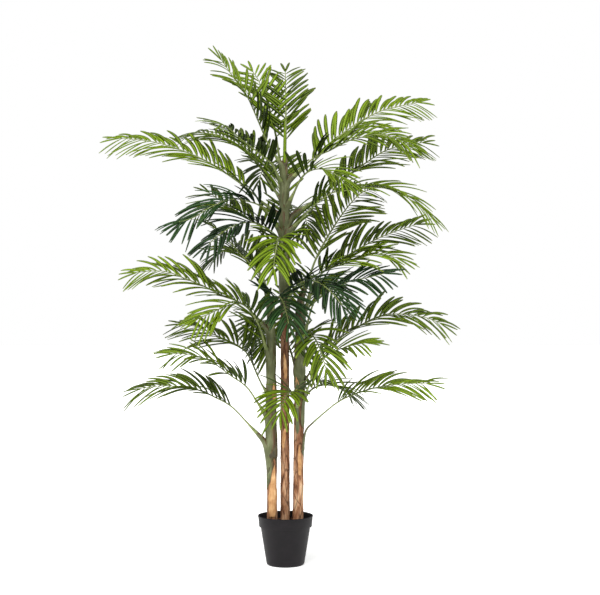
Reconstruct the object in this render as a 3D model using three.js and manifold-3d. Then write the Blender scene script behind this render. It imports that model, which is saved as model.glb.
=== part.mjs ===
// A tall potted palm: three canes rise side by side out of one round nursery pot, and feathered
// fronds arch out of them all the way up. Millimetres, +Z up. The origin is the centre of the pot's
// underside, on the ground. +X is to the right of a person facing the palm, and -Y is towards them.
import * as THREE from "three";
import { mergeVertices } from "three/addons/utils/BufferGeometryUtils.js";
import Module from "manifold-3d";

const wasm = await Module();
wasm.setup();

// ---------------------------------------------------------------- driving dimensions

const GAP = 0.3; // left between pieces that touch

const POT = {
  height: 170,
  rimRadius: 95,
  bandHeight: 38, // of the turned-down band under the rim
  bandFlare: 4, // how much wider the rim is than the band's foot
  bandStep: 5, // how far the band's foot stands out from the body
  baseRadius: 66,
  cornerRadius: 6,
  wall: 2.5,
  floor: 3,
  lip: 2, // the rim's rounded edge
  segments: 36,
};
const DRAIN = { count: 6, radius: 5, ring: 38, sides: 8 };
const SOIL = { depthBelowRim: 24, heap: 3, edgeDrop: 2 };

// Every height of the plant is counted from the soil's level.
// A cane is the brown stem, and a crownshaft the column of green leaf bases rolled round its top.
// Each stands at its azimuth round the pot, with wallRoom between its lower end and the pot's wall,
// and has moved by drift, in X and Y, at the height where it stops leaning.
const CANES = {
  left: { azimuth: 190, wallRoom: 3.6, drift: [-3.4, 0], radius: 18.5, stemTop: 226, shaftTop: 779 },
  middle: { azimuth: 95, wallRoom: 38.8, drift: [-1.7, -1.7], radius: 16.5, stemTop: 794, shaftTop: 1239 },
  right: { azimuth: 350, wallRoom: 6.8, drift: [6.7, 1.7], radius: 18.5, stemTop: 509, shaftTop: 779 },
};
const CANE = {
  depthInSoil: 110,
  leanHeight: 779, // where its axis has moved by its whole drift
  taper: 0.9, // the stem's top radius, as a share of its foot's
  sides: 10,
  stemSteps: 5,
  shaftSteps: 6,
};
// The crownshaft bulges past the stem by swell, then narrows to its top, slowly and then faster.
const SHAFT = { swell: 2.5, topRadius: 9, curve: 1.6 };

// The unopened leaf that stands on the middle crownshaft. profile: [share of the length, of the radius].
const SPEAR = { length: 150, radius: 6, sides: 6, profile: [[0, 0.7], [0.25, 1], [0.6, 0.8], [1, 0.2]] };

// Every frond is a flat strap against its cane that narrows to a stalk, then a midrib with leaflets.
// width: as a share of the cane's radius there. lean: how the strap eases off the cane as it rises.
// middle and bend: shares of its height at which it has a section, and at which it starts to bend.
const STRAP = { height: 55, width: 0.78, thickness: 5, lean: 0.04, middle: 0.5, bend: 0.6 };
const THROAT = { width: 8, thickness: 6 }; // the stalk where the first leaflets leave it
const TIP = { width: 2.4, thickness: 2 };
const STALK_STEPS = 5;
const CURVE_DIVISIONS = 200; // to measure a midrib's length with
const ROLL_ONSET = 0.5; // below 1, a blade takes most of its roll near the throat
const LEAFLETS = {
  perSide: 10,
  baseLength: 150, // of the first leaflet
  longest: 175,
  longestAt: 0.3, // share of the blade
  tipLength: 85,
  shorten: 1.3, // above 1, they stay long for longer before they shorten to the tip
  forward: [46, 56], // degrees that they lean towards the tip, at the throat and at the tip
  rise: [42, 4], // degrees that the two rows stand up out of the blade's plane
  sag: 0.2, // how far an end drops, as a share of its length
};
const TIP_REACH = 0.65; // share of the last leaflets' length that reaches past the midrib's end
// Where a frond's base may shift to if its own place is taken: millimetres up, degrees round.
const BASE_EASE = { rises: [0, 8, 16, 26, 40, 60, 90, 130], turns: [0, 4, -4, 8, -8, 13, -13] };
// A leaflet that would run into something else stops short at the first of these that is clear.
const LEAFLET_SHARES = [1, 0.82, 0.64, 0.46, 0.3];
const LEAFLET_ROOM = { side: 1, end: 3 }; // the clear space that it keeps

// cane, azimuth in degrees from +X towards +Y, below: how far under the crownshaft's top the strap
// starts, the midrib's points from the throat to the tip as [distance out from the cane's axis, height
// above the strap's foot], and then, where it isn't 1 or 0, size: the leaflets' scale, roll: the
// blade's turn about its midrib in degrees, and sway: the tip's drift sideways.
const FRONDS = [
  { name: "left_frond_01", cane: "left", azimuth: 180, below: 580, roll: -30,
    midrib: [[135, 195], [195, 230], [245, 253], [315, 267], [385, 270], [500, 253]] },
  { name: "left_frond_02", cane: "left", azimuth: 200, below: 485, roll: -30,
    midrib: [[88, 170], [150, 215], [200, 252], [235, 272], [290, 287], [400, 294]] },
  { name: "left_frond_03", cane: "left", azimuth: 164, below: 395, roll: -36,
    midrib: [[48, 112], [95, 202], [142, 232], [185, 250], [295, 292], [376, 300]] },
  { name: "left_frond_04", cane: "left", azimuth: 100, below: 325, roll: 10,
    midrib: [[60, 145], [130, 205], [230, 235], [350, 215], [465, 145]] },
  { name: "left_frond_05", cane: "left", azimuth: 214, below: 275, roll: -25,
    midrib: [[50, 170], [85, 220], [120, 247], [170, 243], [260, 210], [340, 185]] },
  { name: "left_frond_06", cane: "left", azimuth: 176, below: 185, roll: -42,
    midrib: [[92, 152], [172, 186], [232, 217], [300, 245], [370, 270], [455, 268], [520, 258]] },
  { name: "left_frond_07", cane: "left", azimuth: 282, below: 195, size: 0.9,
    midrib: [[48, 160], [100, 190], [175, 185], [255, 145], [330, 70]] },
  { name: "left_frond_08", cane: "left", azimuth: 125, below: 135, roll: -25,
    midrib: [[50, 170], [110, 250], [200, 300], [310, 300], [430, 240]] },
  { name: "left_frond_09", cane: "left", azimuth: 218, below: 100, roll: -20,
    midrib: [[35, 160], [95, 215], [130, 241], [165, 275], [240, 335], [290, 355]] },

  { name: "right_frond_01", cane: "right", azimuth: 356, below: 527, roll: 32,
    midrib: [[130, 158], [175, 182], [230, 202], [300, 219], [415, 228], [490, 224]] },
  { name: "right_frond_02", cane: "right", azimuth: 256, below: 445, size: 0.85,
    midrib: [[42, 100], [95, 122], [155, 118], [220, 90], [285, 35]] },
  { name: "right_frond_03", cane: "right", azimuth: 52, below: 455, size: 0.9, roll: 25,
    midrib: [[52, 115], [115, 138], [190, 135], [270, 110], [350, 65]] },
  { name: "right_frond_04", cane: "right", azimuth: 6, below: 355, roll: 42,
    midrib: [[90, 162], [150, 214], [208, 248], [290, 285], [355, 292], [460, 275], [540, 236]] },
  { name: "right_frond_05", cane: "right", azimuth: 110, below: 365,
    midrib: [[60, 140], [135, 210], [235, 240], [345, 215], [450, 140]] },
  { name: "right_frond_06", cane: "right", azimuth: 322, below: 425, roll: 25,
    midrib: [[70, 166], [112, 215], [175, 245], [237, 262], [335, 277]] },
  { name: "right_frond_07", cane: "right", azimuth: 286, below: 265, size: 0.9,
    midrib: [[42, 115], [100, 140], [175, 128], [260, 80], [345, -5]] },
  { name: "right_frond_08", cane: "right", azimuth: 72, below: 245, roll: 15,
    midrib: [[50, 170], [115, 255], [205, 305], [320, 300], [430, 235]] },
  { name: "right_frond_09", cane: "right", azimuth: 338, below: 225, roll: 40,
    midrib: [[57, 205], [110, 240], [190, 276], [240, 285], [306, 300], [360, 312]] },
  { name: "right_frond_10", cane: "right", azimuth: 14, below: 145, roll: 45,
    midrib: [[72, 215], [130, 253], [180, 288], [287, 348], [396, 388], [475, 413]] },
  { name: "right_frond_11", cane: "right", azimuth: 50, below: 80, roll: 45,
    midrib: [[83, 199], [138, 271], [190, 327], [247, 382], [353, 458], [450, 480]] },

  { name: "middle_frond_01", cane: "middle", azimuth: 308, below: 535, size: 0.95, roll: 15,
    midrib: [[48, 95], [110, 125], [185, 120], [270, 75], [350, 10]] },
  { name: "middle_frond_02", cane: "middle", azimuth: 352, below: 520, roll: 36,
    midrib: [[112, 133], [205, 170], [245, 181], [290, 201], [345, 201], [440, 171]] },
  { name: "middle_frond_03", cane: "middle", azimuth: 265, below: 455,
    midrib: [[48, 130], [110, 165], [195, 168], [300, 120], [400, 30]] },
  { name: "middle_frond_04", cane: "middle", azimuth: 78, below: 405,
    midrib: [[55, 150], [120, 225], [215, 265], [330, 245], [440, 165]] },
  { name: "middle_frond_05", cane: "middle", azimuth: 233, below: 385, roll: -20,
    midrib: [[58, 130], [120, 167], [200, 168], [295, 130], [390, 60]] },
  { name: "middle_frond_06", cane: "middle", azimuth: 150, below: 410, roll: -30,
    midrib: [[92, 185], [162, 227], [225, 265], [276, 295], [358, 351]] },
  { name: "middle_frond_07", cane: "middle", azimuth: 202, below: 313, roll: -30,
    midrib: [[82, 158], [130, 174], [178, 183], [258, 158], [337, 113], [435, 90]] },
  { name: "middle_frond_08", cane: "middle", azimuth: 350, below: 305, roll: 20,
    midrib: [[90, 142], [165, 199], [242, 207], [317, 217], [393, 196], [447, 164], [538, 85]] },
  { name: "middle_frond_09", cane: "middle", azimuth: 28, below: 265, roll: 48,
    midrib: [[175, 180], [254, 234], [326, 280], [395, 322], [456, 345], [620, 376]] },
  { name: "middle_frond_10", cane: "middle", azimuth: 105, below: 280,
    midrib: [[50, 155], [110, 245], [195, 295], [310, 295], [425, 225]] },
  { name: "middle_frond_11", cane: "middle", azimuth: 176, below: 255, roll: -46,
    midrib: [[127, 161], [225, 232], [295, 274], [400, 317], [470, 338], [576, 353], [658, 358]] },
  { name: "middle_frond_12", cane: "middle", azimuth: 316, below: 220, size: 0.85, roll: 15,
    midrib: [[75, 155], [112, 181], [170, 187], [240, 163], [310, 103]] },
  { name: "middle_frond_13", cane: "middle", azimuth: 145, below: 195, roll: -30,
    midrib: [[72, 140], [128, 210], [159, 242], [195, 265], [285, 308], [378, 326], [480, 318]] },
  { name: "middle_frond_14", cane: "middle", azimuth: 347, below: 135, roll: 40,
    midrib: [[98, 145], [165, 176], [225, 205], [283, 218], [340, 222], [405, 202], [475, 160]] },
  { name: "middle_frond_15", cane: "middle", azimuth: 230, below: 145, roll: -20,
    midrib: [[65, 132], [113, 157], [172, 184], [220, 206], [304, 244], [381, 242]] },
  { name: "middle_frond_16", cane: "middle", azimuth: 134, below: 127, size: 0.9, roll: -35,
    midrib: [[43, 212], [84, 336], [114, 392], [142, 438], [200, 497]] },
  { name: "middle_frond_17", cane: "middle", azimuth: 28, below: 120, roll: 52,
    midrib: [[105, 120], [180, 193], [282, 270], [345, 305], [410, 333], [472, 349], [600, 380]] },
  { name: "middle_frond_18", cane: "middle", azimuth: 188, below: 75, roll: -46,
    midrib: [[62, 147], [96, 225], [134, 307], [172, 358], [210, 412], [248, 470]] },
  { name: "middle_frond_19", cane: "middle", azimuth: 84, below: 47, size: 0.85, sway: 14,
    midrib: [[26, 122], [48, 217], [80, 304], [120, 367], [172, 418]] },
];

// Dried leaf bases that still clasp the canes, from one height to another. span is the arc that each
// covers at its widest, in degrees.
const DRY_SHEATHS = [
  { name: "dry_sheath_left_low", cane: "left", azimuth: 285, from: 19, to: 204, span: 95 },
  { name: "dry_sheath_left_high", cane: "left", azimuth: 300, from: 414, to: 482, span: 80 },
  { name: "dry_sheath_middle_low", cane: "middle", azimuth: 262, from: 254, to: 344, span: 110 },
  { name: "dry_sheath_middle_high", cane: "middle", azimuth: 275, from: 494, to: 584, span: 90 },
  { name: "dry_sheath_right_low", cane: "right", azimuth: 282, from: 164, to: 274, span: 100 },
  { name: "dry_sheath_right_high", cane: "right", azimuth: 250, from: 444, to: 504, span: 84 },
];
const DRY_SHEATH = {
  thickness: 1.6,
  clearance: 0.6,
  flare: 5, // how far its top stands off the cane
  narrowest: 0.35, // share of its span that it always covers
  bulge: [0.15, 0.75], // the stretch of a half sine wave that its sides follow
  steps: 4,
  arcPoints: 5,
};

const COLOURS = {
  pot: 0x2c2b2c,
  soil: 0x33261c,
  cane: 0x8a5f3c,
  crownshaft: 0x66753f,
  frond: 0x4c7a1e,
  drySheath: 0xb98a56,
};

// ---------------------------------------------------------------- small helpers

const SOIL_LEVEL = POT.height - SOIL.depthBelowRim;
const POT_BAND_FOOT_HEIGHT = POT.height - POT.bandHeight;
const POT_BAND_FOOT_RADIUS = POT.rimRadius - POT.bandFlare;
const POT_BODY_TOP_RADIUS = POT_BAND_FOOT_RADIUS - POT.bandStep;
const QUARTER_ROUND = 0.3; // how far in, as a share of its radius, a rounded corner's middle lies

const radians = THREE.MathUtils.degToRad;
const lerp = THREE.MathUtils.lerp;
const UP = new THREE.Vector3(0, 0, 1);
const LEAST_VOLUME = 1e-3; // cubic millimetres: two solids that share less than this are apart

const FINISHES = Object.fromEntries(
  Object.entries(COLOURS).map(([name, color]) => [
    name,
    new THREE.MeshStandardMaterial({ name, color, roughness: 0.6, metalness: 0 }),
  ]),
);

/** The unit vector that points outwards at this azimuth. */
function outward(azimuth) {
  return new THREE.Vector3(Math.cos(radians(azimuth)), Math.sin(radians(azimuth)), 0);
}

/** The inner radius of the pot's body at a height above the ground. */
function potRadiusInside(height) {
  return lerp(POT.baseRadius, POT_BODY_TOP_RADIUS, height / POT_BAND_FOOT_HEIGHT) - POT.wall;
}

/** The point on a cane's axis at a height above the soil. */
function axisAt(cane, height) {
  const footRadius = potRadiusInside(SOIL_LEVEL - CANE.depthInSoil) - cane.wallRoom - cane.radius;
  const share = Math.min(height / CANE.leanHeight, 1);
  const drift = new THREE.Vector3(...cane.drift, 0).multiplyScalar(share);
  return outward(cane.azimuth).multiplyScalar(footRadius).add(drift).setZ(SOIL_LEVEL + height);
}

/** The radius of the stem, or of the crownshaft above it, at a height above the soil. */
function columnRadius(cane, height) {
  const stemTopRadius = cane.radius * CANE.taper;
  if (height <= cane.stemTop) return lerp(cane.radius, stemTopRadius, height / cane.stemTop);
  const share = Math.min((height - cane.stemTop) / (cane.shaftTop - cane.stemTop), 1);
  return lerp(stemTopRadius + SHAFT.swell, SHAFT.topRadius, share ** SHAFT.curve);
}

/** The largest radius of a column between two heights. It bulges most just above the stem's top. */
function widestRadius(cane, low, high) {
  const bulge = Math.min(Math.max(cane.stemTop + GAP, low), high);
  return Math.max(...[low, bulge, high].map((height) => columnRadius(cane, height)));
}

/** A geometry from a list of points and a list of triangles. */
function geometryOf(points, triangles) {
  const geometry = new THREE.BufferGeometry();
  const places = points.flatMap((point) => [point.x, point.y, point.z]);
  geometry.setAttribute("position", new THREE.Float32BufferAttribute(places, 3));
  geometry.setIndex(triangles.flat());
  return geometry;
}

/** A three.js geometry as a manifold-3d solid. */
function solidOf(geometry) {
  const bare = geometry.clone();
  bare.deleteAttribute("normal");
  bare.deleteAttribute("uv");
  const merged = mergeVertices(bare, 1e-3);
  return new wasm.Manifold(
    new wasm.Mesh({
      numProp: 3,
      vertProperties: new Float32Array(merged.attributes.position.array),
      triVerts: new Uint32Array(merged.index.array),
    }),
  );
}

/** A manifold-3d solid as a three.js geometry. */
function geometryFrom(solid) {
  const { vertProperties, triVerts } = solid.getMesh();
  const geometry = new THREE.BufferGeometry();
  geometry.setAttribute("position", new THREE.BufferAttribute(vertProperties, 3));
  geometry.setIndex([...triVerts]);
  return geometry;
}

/** The closed skin over rings of points that all have the same count, with a fan over each end. */
function loft(rings) {
  const sides = rings[0].length;
  const points = rings.flat();
  const triangles = [];
  const at = (ring, side) => ring * sides + (side % sides);
  for (let ring = 0; ring + 1 < rings.length; ring++)
    for (let side = 0; side < sides; side++)
      triangles.push(
        [at(ring, side), at(ring, side + 1), at(ring + 1, side + 1)],
        [at(ring, side), at(ring + 1, side + 1), at(ring + 1, side)],
      );
  const last = rings.length - 1;
  for (let side = 1; side + 1 < sides; side++)
    triangles.push(
      [at(0, 0), at(0, side + 1), at(0, side)],
      [at(last, 0), at(last, side), at(last, side + 1)],
    );
  return geometryOf(points, triangles);
}

/** A level ring of points round a centre. */
function ringAt(centre, radius, sides) {
  return Array.from({ length: sides }, (_, side) =>
    outward((360 * side) / sides).multiplyScalar(radius).add(centre),
  );
}

// ---------------------------------------------------------------- pot and soil

/** The pot: a tapered plastic shell with a banded rim and drain holes. */
function potGeometry() {
  const p = POT;
  const bandFoot = POT_BAND_FOOT_HEIGHT;
  const corner = p.cornerRadius * QUARTER_ROUND;
  const profile = [
    [0, 0],
    [p.baseRadius - p.cornerRadius, 0],
    [p.baseRadius - corner, corner],
    [p.baseRadius, p.cornerRadius],
    [POT_BODY_TOP_RADIUS, bandFoot - p.lip / 2],
    [POT_BAND_FOOT_RADIUS, bandFoot],
    [p.rimRadius, p.height - p.lip],
    [p.rimRadius - p.lip / 2, p.height],
    [p.rimRadius - p.wall, p.height],
    [POT_BAND_FOOT_RADIUS - p.wall, bandFoot + p.wall],
    [POT_BODY_TOP_RADIUS - p.wall, bandFoot],
    [p.baseRadius - p.wall, p.floor + p.cornerRadius],
    [p.baseRadius - p.wall - p.cornerRadius + corner, p.floor],
    [0, p.floor],
  ].map(([r, z]) => new THREE.Vector2(r, z));
  const shell = new THREE.LatheGeometry(profile, p.segments).rotateX(Math.PI / 2);
  let solid = solidOf(shell);
  const drill = new THREE.CylinderGeometry(DRAIN.radius, DRAIN.radius, p.height, DRAIN.sides);
  drill.rotateX(Math.PI / 2);
  for (let hole = 0; hole < DRAIN.count; hole++) {
    const at = outward((360 * hole) / DRAIN.count).multiplyScalar(DRAIN.ring);
    solid = solid.subtract(solidOf(drill).translate(at.x, at.y, 0));
  }
  return geometryFrom(solid);
}

/** The soil: fills the pot to its level, heaped a little round the canes, with a socket for each cane. */
function soilGeometry(sockets) {
  const p = POT;
  const corner = p.baseRadius - p.wall;
  const shy = GAP * 2; // keeps the soil's corners inside the pot's facets
  const upBand = (SOIL_LEVEL - POT_BAND_FOOT_HEIGHT) / p.bandHeight;
  const insideBand = lerp(POT_BAND_FOOT_RADIUS, p.rimRadius, upBand) - p.wall;
  const profile = [
    [0, p.floor + GAP],
    [corner - p.cornerRadius + p.cornerRadius * QUARTER_ROUND - shy, p.floor + GAP],
    [corner - shy, p.floor + p.cornerRadius + GAP],
    [POT_BODY_TOP_RADIUS - p.wall - shy, POT_BAND_FOOT_HEIGHT],
    [insideBand - shy * 2, SOIL_LEVEL - SOIL.edgeDrop],
    [POT_BODY_TOP_RADIUS / 2, SOIL_LEVEL + SOIL.heap / 2],
    [0, SOIL_LEVEL + SOIL.heap],
  ].map(([r, z]) => new THREE.Vector2(r, z));
  const fill = new THREE.LatheGeometry(profile, p.segments).rotateX(Math.PI / 2);
  return geometryFrom(sockets.reduce((solid, socket) => solid.subtract(socket), solidOf(fill)));
}

// ---------------------------------------------------------------- canes

/** A column round a cane's axis between two heights, grown outwards by extra. */
function columnGeometry(cane, low, high, steps, extra = 0) {
  const rings = Array.from({ length: steps + 1 }, (_, step) => {
    const height = lerp(low, high, step / steps);
    return ringAt(axisAt(cane, height), columnRadius(cane, height) + extra, CANE.sides);
  });
  return loft(rings);
}

/** The unopened leaf, standing on the crownshaft's top. */
function spearGeometry(cane) {
  const rings = SPEAR.profile.map(([rise, size]) => {
    const centre = axisAt(cane, cane.shaftTop + GAP + rise * SPEAR.length);
    return ringAt(centre, SPEAR.radius * size, SPEAR.sides);
  });
  return loft(rings);
}

/** A curved plate that clasps a cane: narrow at its foot, widest in the middle, flared at its top. */
function drySheathGeometry(sheath) {
  const cane = CANES[sheath.cane];
  const { thickness, clearance, flare, narrowest, bulge, steps, arcPoints } = DRY_SHEATH;
  const heightAt = (step) => lerp(sheath.from, sheath.to, Math.min(Math.max(step, 0), steps) / steps);
  const rings = Array.from({ length: steps + 1 }, (_, step) => {
    const share = step / steps;
    const height = heightAt(step);
    const half = (sheath.span / 2) * lerp(narrowest, 1, Math.sin(Math.PI * lerp(...bulge, share)));
    const column = widestRadius(cane, heightAt(step - 1), heightAt(step + 1));
    const clear = column + clearance + flare * share ** 3;
    const arc = (radius, sign) =>
      Array.from({ length: arcPoints }, (__, k) => {
        const turn = sign * lerp(-half, half, k / (arcPoints - 1));
        return outward(sheath.azimuth + turn).multiplyScalar(radius).add(axisAt(cane, height));
      });
    return [...arc(clear + thickness, 1), ...arc(clear, -1)];
  });
  return stripLoft(rings, arcPoints);
}

/** A loft whose rings are an outer arc and then an inner arc run backwards; its ends are strips. */
function stripLoft(rings, arcPoints) {
  const sides = arcPoints * 2;
  const body = loft(rings);
  const triangles = [];
  const index = [...body.index.array];
  const fanTriangles = (sides - 2) * 2;
  for (let k = 0; k < index.length - fanTriangles * 3; k += 3) triangles.push(index.slice(k, k + 3));
  const last = (rings.length - 1) * sides;
  for (let k = 0; k + 1 < arcPoints; k++) {
    const [outer, nextOuter, nextInner, inner] = [k, k + 1, sides - 2 - k, sides - 1 - k];
    triangles.push(
      [outer, inner, nextOuter],
      [inner, nextInner, nextOuter],
      [last + outer, last + nextOuter, last + inner],
      [last + inner, last + nextOuter, last + nextInner],
    );
  }
  return geometryOf(rings.flat(), triangles);
}

// ---------------------------------------------------------------- fronds

/** The stations along a frond: its strap, its stalk and then one more than it has leaflet pairs. */
function stationsOf(frond) {
  const cane = CANES[frond.cane];
  const out = outward(frond.azimuth);
  const across = new THREE.Vector3().crossVectors(UP, out);
  const foot = cane.shaftTop - frond.below;
  const half = STRAP.thickness / 2 + GAP;
  const place = ([r, rise]) => axisAt(cane, foot).addScaledVector(out, r).addScaledVector(UP, rise);
  const clasp = (rise) => [
    columnRadius(cane, foot + rise) + half + rise * STRAP.lean,
    rise,
  ];
  const strapWidth = STRAP.width * columnRadius(cane, foot);
  const stalk = new THREE.CatmullRomCurve3(
    [clasp(STRAP.height * STRAP.bend), clasp(STRAP.height), ...frond.midrib].map(place),
    false,
    "centripetal",
  );
  const lengths = stalk.getLengths(CURVE_DIVISIONS);
  const total = lengths[CURVE_DIVISIONS];
  const spans = frond.midrib.length + 1;
  const throatAt = lengths[Math.round((CURVE_DIVISIONS * 2) / spans)] / total;
  const shares = [];
  for (let k = 1; k <= STALK_STEPS; k++) shares.push((throatAt * k) / STALK_STEPS);
  const bladeEnd = 1 - (LEAFLETS.tipLength * TIP_REACH * (frond.size ?? 1)) / total;
  for (let k = 1; k <= LEAFLETS.perSide; k++) shares.push(lerp(throatAt, bladeEnd, k / LEAFLETS.perSide));
  const strap = [0, STRAP.height * STRAP.middle].map((rise) => ({
    centre: place(clasp(rise)),
    tangent: UP.clone(),
    width: strapWidth,
    thickness: STRAP.thickness,
    blade: -1,
  }));
  const rest = shares.map((share) => {
    const blade = (share - throatAt) / (bladeEnd - throatAt);
    const along = Math.min(share / throatAt, 1);
    const drift = (frond.sway ?? 0) * Math.max(blade, 0) ** 2;
    return {
      centre: stalk.getPointAt(share).addScaledVector(across, drift),
      tangent: stalk.getTangentAt(share),
      width: blade > 0 ? lerp(THROAT.width, TIP.width, blade) : lerp(strapWidth, THROAT.width, along),
      thickness:
        blade > 0
          ? lerp(THROAT.thickness, TIP.thickness, blade)
          : lerp(STRAP.thickness, THROAT.thickness, along),
      blade,
    };
  });
  return [...strap, ...rest].map((station) => {
    const turn = radians(frond.roll ?? 0) * Math.max(station.blade, 0) ** ROLL_ONSET;
    const side = across.clone().applyAxisAngle(station.tangent, turn);
    side.addScaledVector(station.tangent, -side.dot(station.tangent)).normalize();
    return { ...station, side, top: new THREE.Vector3().crossVectors(side, station.tangent).negate() };
  });
}

/** The four corners of a station: top left, top right, bottom right, bottom left, seen from the tip. */
function cornersOf({ centre, side, top, width, thickness }) {
  return [[-1, 1], [1, 1], [1, -1], [-1, -1]].map(([s, t]) =>
    centre.clone().addScaledVector(side, (s * width) / 2).addScaledVector(top, (t * thickness) / 2),
  );
}

/** Where a leaflet ends, for the pair between two stations. sideSign is -1 or 1. */
function leafletTip(frond, station, next, sideSign, share) {
  const blade = (Math.max(station.blade, 0) + next.blade) / 2;
  const { baseLength, longest, longestAt, tipLength, shorten, forward, rise, sag } = LEAFLETS;
  const full =
    blade < longestAt
      ? lerp(baseLength, longest, blade / longestAt)
      : lerp(longest, tipLength, ((blade - longestAt) / (1 - longestAt)) ** shorten);
  const lean = radians(lerp(...forward, blade));
  const stand = radians(lerp(...rise, blade));
  const direction = station.tangent
    .clone()
    .multiplyScalar(Math.sin(lean))
    .addScaledVector(station.side, sideSign * Math.cos(lean) * Math.cos(stand))
    .addScaledVector(station.top, Math.cos(lean) * Math.sin(stand))
    .addScaledVector(UP, -sag)
    .normalize();
  const root = station.centre.clone().add(next.centre).multiplyScalar(0.5);
  return root.addScaledVector(direction, full * (frond.size ?? 1) * share);
}

/** A closed skin over the stations; a side face between two of them is drawn out to each given tip. */
function frondGeometry(stations, tips) {
  const points = stations.flatMap(cornersOf);
  const triangles = [[0, 1, 2], [0, 2, 3]];
  const quad = (a, b, c, d) => triangles.push([a, b, c], [a, c, d]);
  for (let k = 0; k + 1 < stations.length; k++) {
    const [a, b] = [k * 4, k * 4 + 4];
    quad(a, b, b + 1, a + 1);
    quad(a + 2, b + 2, b + 3, a + 3);
    for (const [corners, tip] of [
      [[a + 1, b + 1, b + 2, a + 2], tips.get(`${k},1`)],
      [[a + 3, b + 3, b, a], tips.get(`${k},-1`)],
    ]) {
      if (!tip) quad(...corners);
      else {
        points.push(tip);
        corners.forEach((corner, i) => triangles.push([corner, corners[(i + 1) % 4], points.length - 1]));
      }
    }
  }
  const end = (stations.length - 1) * 4;
  triangles.push([end, end + 2, end + 1], [end, end + 3, end + 2]);
  return geometryOf(points, triangles);
}

/** The space that one leaflet needs: its own pyramid, a little larger all round. */
function leafletSpace(station, next, tip, sideSign) {
  const [near, far] = [station, next].map(({ width, thickness, ...rest }) =>
    cornersOf({ ...rest, width, thickness: thickness + LEAFLET_ROOM.side * 2 }),
  );
  const corners = sideSign > 0 ? [near[1], far[1], far[2], near[2]] : [near[3], far[3], far[0], near[0]];
  const sum = corners.reduce((total, corner) => total.add(corner), new THREE.Vector3());
  const root = sum.divideScalar(corners.length);
  const beyond = tip.clone().addScaledVector(tip.clone().sub(root).normalize(), LEAFLET_ROOM.end);
  const triangles = [[0, 2, 1], [0, 3, 2], [0, 1, 4], [1, 2, 4], [2, 3, 4], [3, 0, 4]];
  return solidOf(geometryOf([...corners, beyond], triangles));
}

/** True if two solids share any space. Their boxes are compared first, because that is quick. */
function meet(a, b) {
  const [p, q] = [a.boundingBox(), b.boundingBox()];
  const apart = [0, 1, 2].some((i) => p.min[i] > q.max[i] || q.min[i] > p.max[i]);
  return !apart && a.intersect(b).volume() > LEAST_VOLUME;
}

/** A frond's stations with its base eased up its cane, or round it, to the first place that is free. */
function settle(frond, taken) {
  for (const rise of BASE_EASE.rises)
    for (const turn of BASE_EASE.turns) {
      const eased = { ...frond, below: frond.below - rise, azimuth: frond.azimuth + turn };
      const stations = stationsOf(eased);
      const solid = solidOf(frondGeometry(stations, new Map()));
      if (![...taken.values()].some((other) => meet(solid, other))) return { stations, solid };
    }
  throw new Error(`${frond.name} has no room on its cane`);
}

/** Every frond's geometry: all the stalks stand first, and leaflets then grow into free space. */
function growFronds(standing) {
  const taken = new Map(standing);
  const stations = new Map();
  for (const frond of FRONDS) {
    const settled = settle(frond, taken);
    stations.set(frond.name, settled.stations);
    taken.set(frond.name, settled.solid);
  }
  return FRONDS.map((frond) => {
    const row = stations.get(frond.name);
    const tips = new Map();
    const others = [...taken].filter(([name]) => name !== frond.name).map(([, solid]) => solid);
    row.slice(0, -1).forEach((station, k) => {
      if (row[k + 1].blade <= 0) return;
      for (const sideSign of [-1, 1])
        for (const share of LEAFLET_SHARES) {
          const tip = leafletTip(frond, station, row[k + 1], sideSign, share);
          const space = leafletSpace(station, row[k + 1], tip, sideSign);
          if (others.some((solid) => meet(space, solid))) continue;
          tips.set(`${k},${sideSign}`, tip);
          break;
        }
    });
    const geometry = frondGeometry(row, tips);
    taken.set(frond.name, solidOf(geometry));
    return { name: frond.name, geometry };
  });
}

// ---------------------------------------------------------------- the palm

const palm = new THREE.Group();

function add(name, geometry, finish) {
  const mesh = new THREE.Mesh(geometry, finish);
  mesh.name = name;
  palm.add(mesh);
  return mesh;
}

const stemFoot = -CANE.depthInSoil;
const sockets = Object.values(CANES).map((cane) =>
  solidOf(columnGeometry(cane, stemFoot - GAP, cane.stemTop, CANE.stemSteps, GAP)),
);
add("pot", potGeometry(), FINISHES.pot);
add("soil", soilGeometry(sockets), FINISHES.soil);
for (const [name, cane] of Object.entries(CANES)) {
  const stem = columnGeometry(cane, stemFoot, cane.stemTop - GAP, CANE.stemSteps);
  const shaft = columnGeometry(cane, cane.stemTop + GAP / 2, cane.shaftTop, CANE.shaftSteps);
  add(`cane_${name}`, stem, FINISHES.cane);
  add(`crownshaft_${name}`, shaft, FINISHES.crownshaft);
}
add("spear_leaf", spearGeometry(CANES.middle), FINISHES.frond);
for (const sheath of DRY_SHEATHS) add(sheath.name, drySheathGeometry(sheath), FINISHES.drySheath);

const standing = palm.children.map((mesh) => [mesh.name, solidOf(mesh.geometry)]);
for (const { name, geometry } of growFronds(standing)) add(name, geometry, FINISHES.frond);

export default palm;
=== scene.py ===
"""Potted palm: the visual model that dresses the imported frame. Metres, +Z up, front towards -Y."""

from __future__ import annotations

import itertools  # noqa: E402
import logging  # noqa: E402
import math  # noqa: E402
import random  # noqa: E402
from dataclasses import dataclass, field  # noqa: E402
from enum import Enum  # noqa: E402

import bpy  # noqa: E402
import numpy as np  # noqa: E402
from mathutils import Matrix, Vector, noise  # noqa: E402

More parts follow.
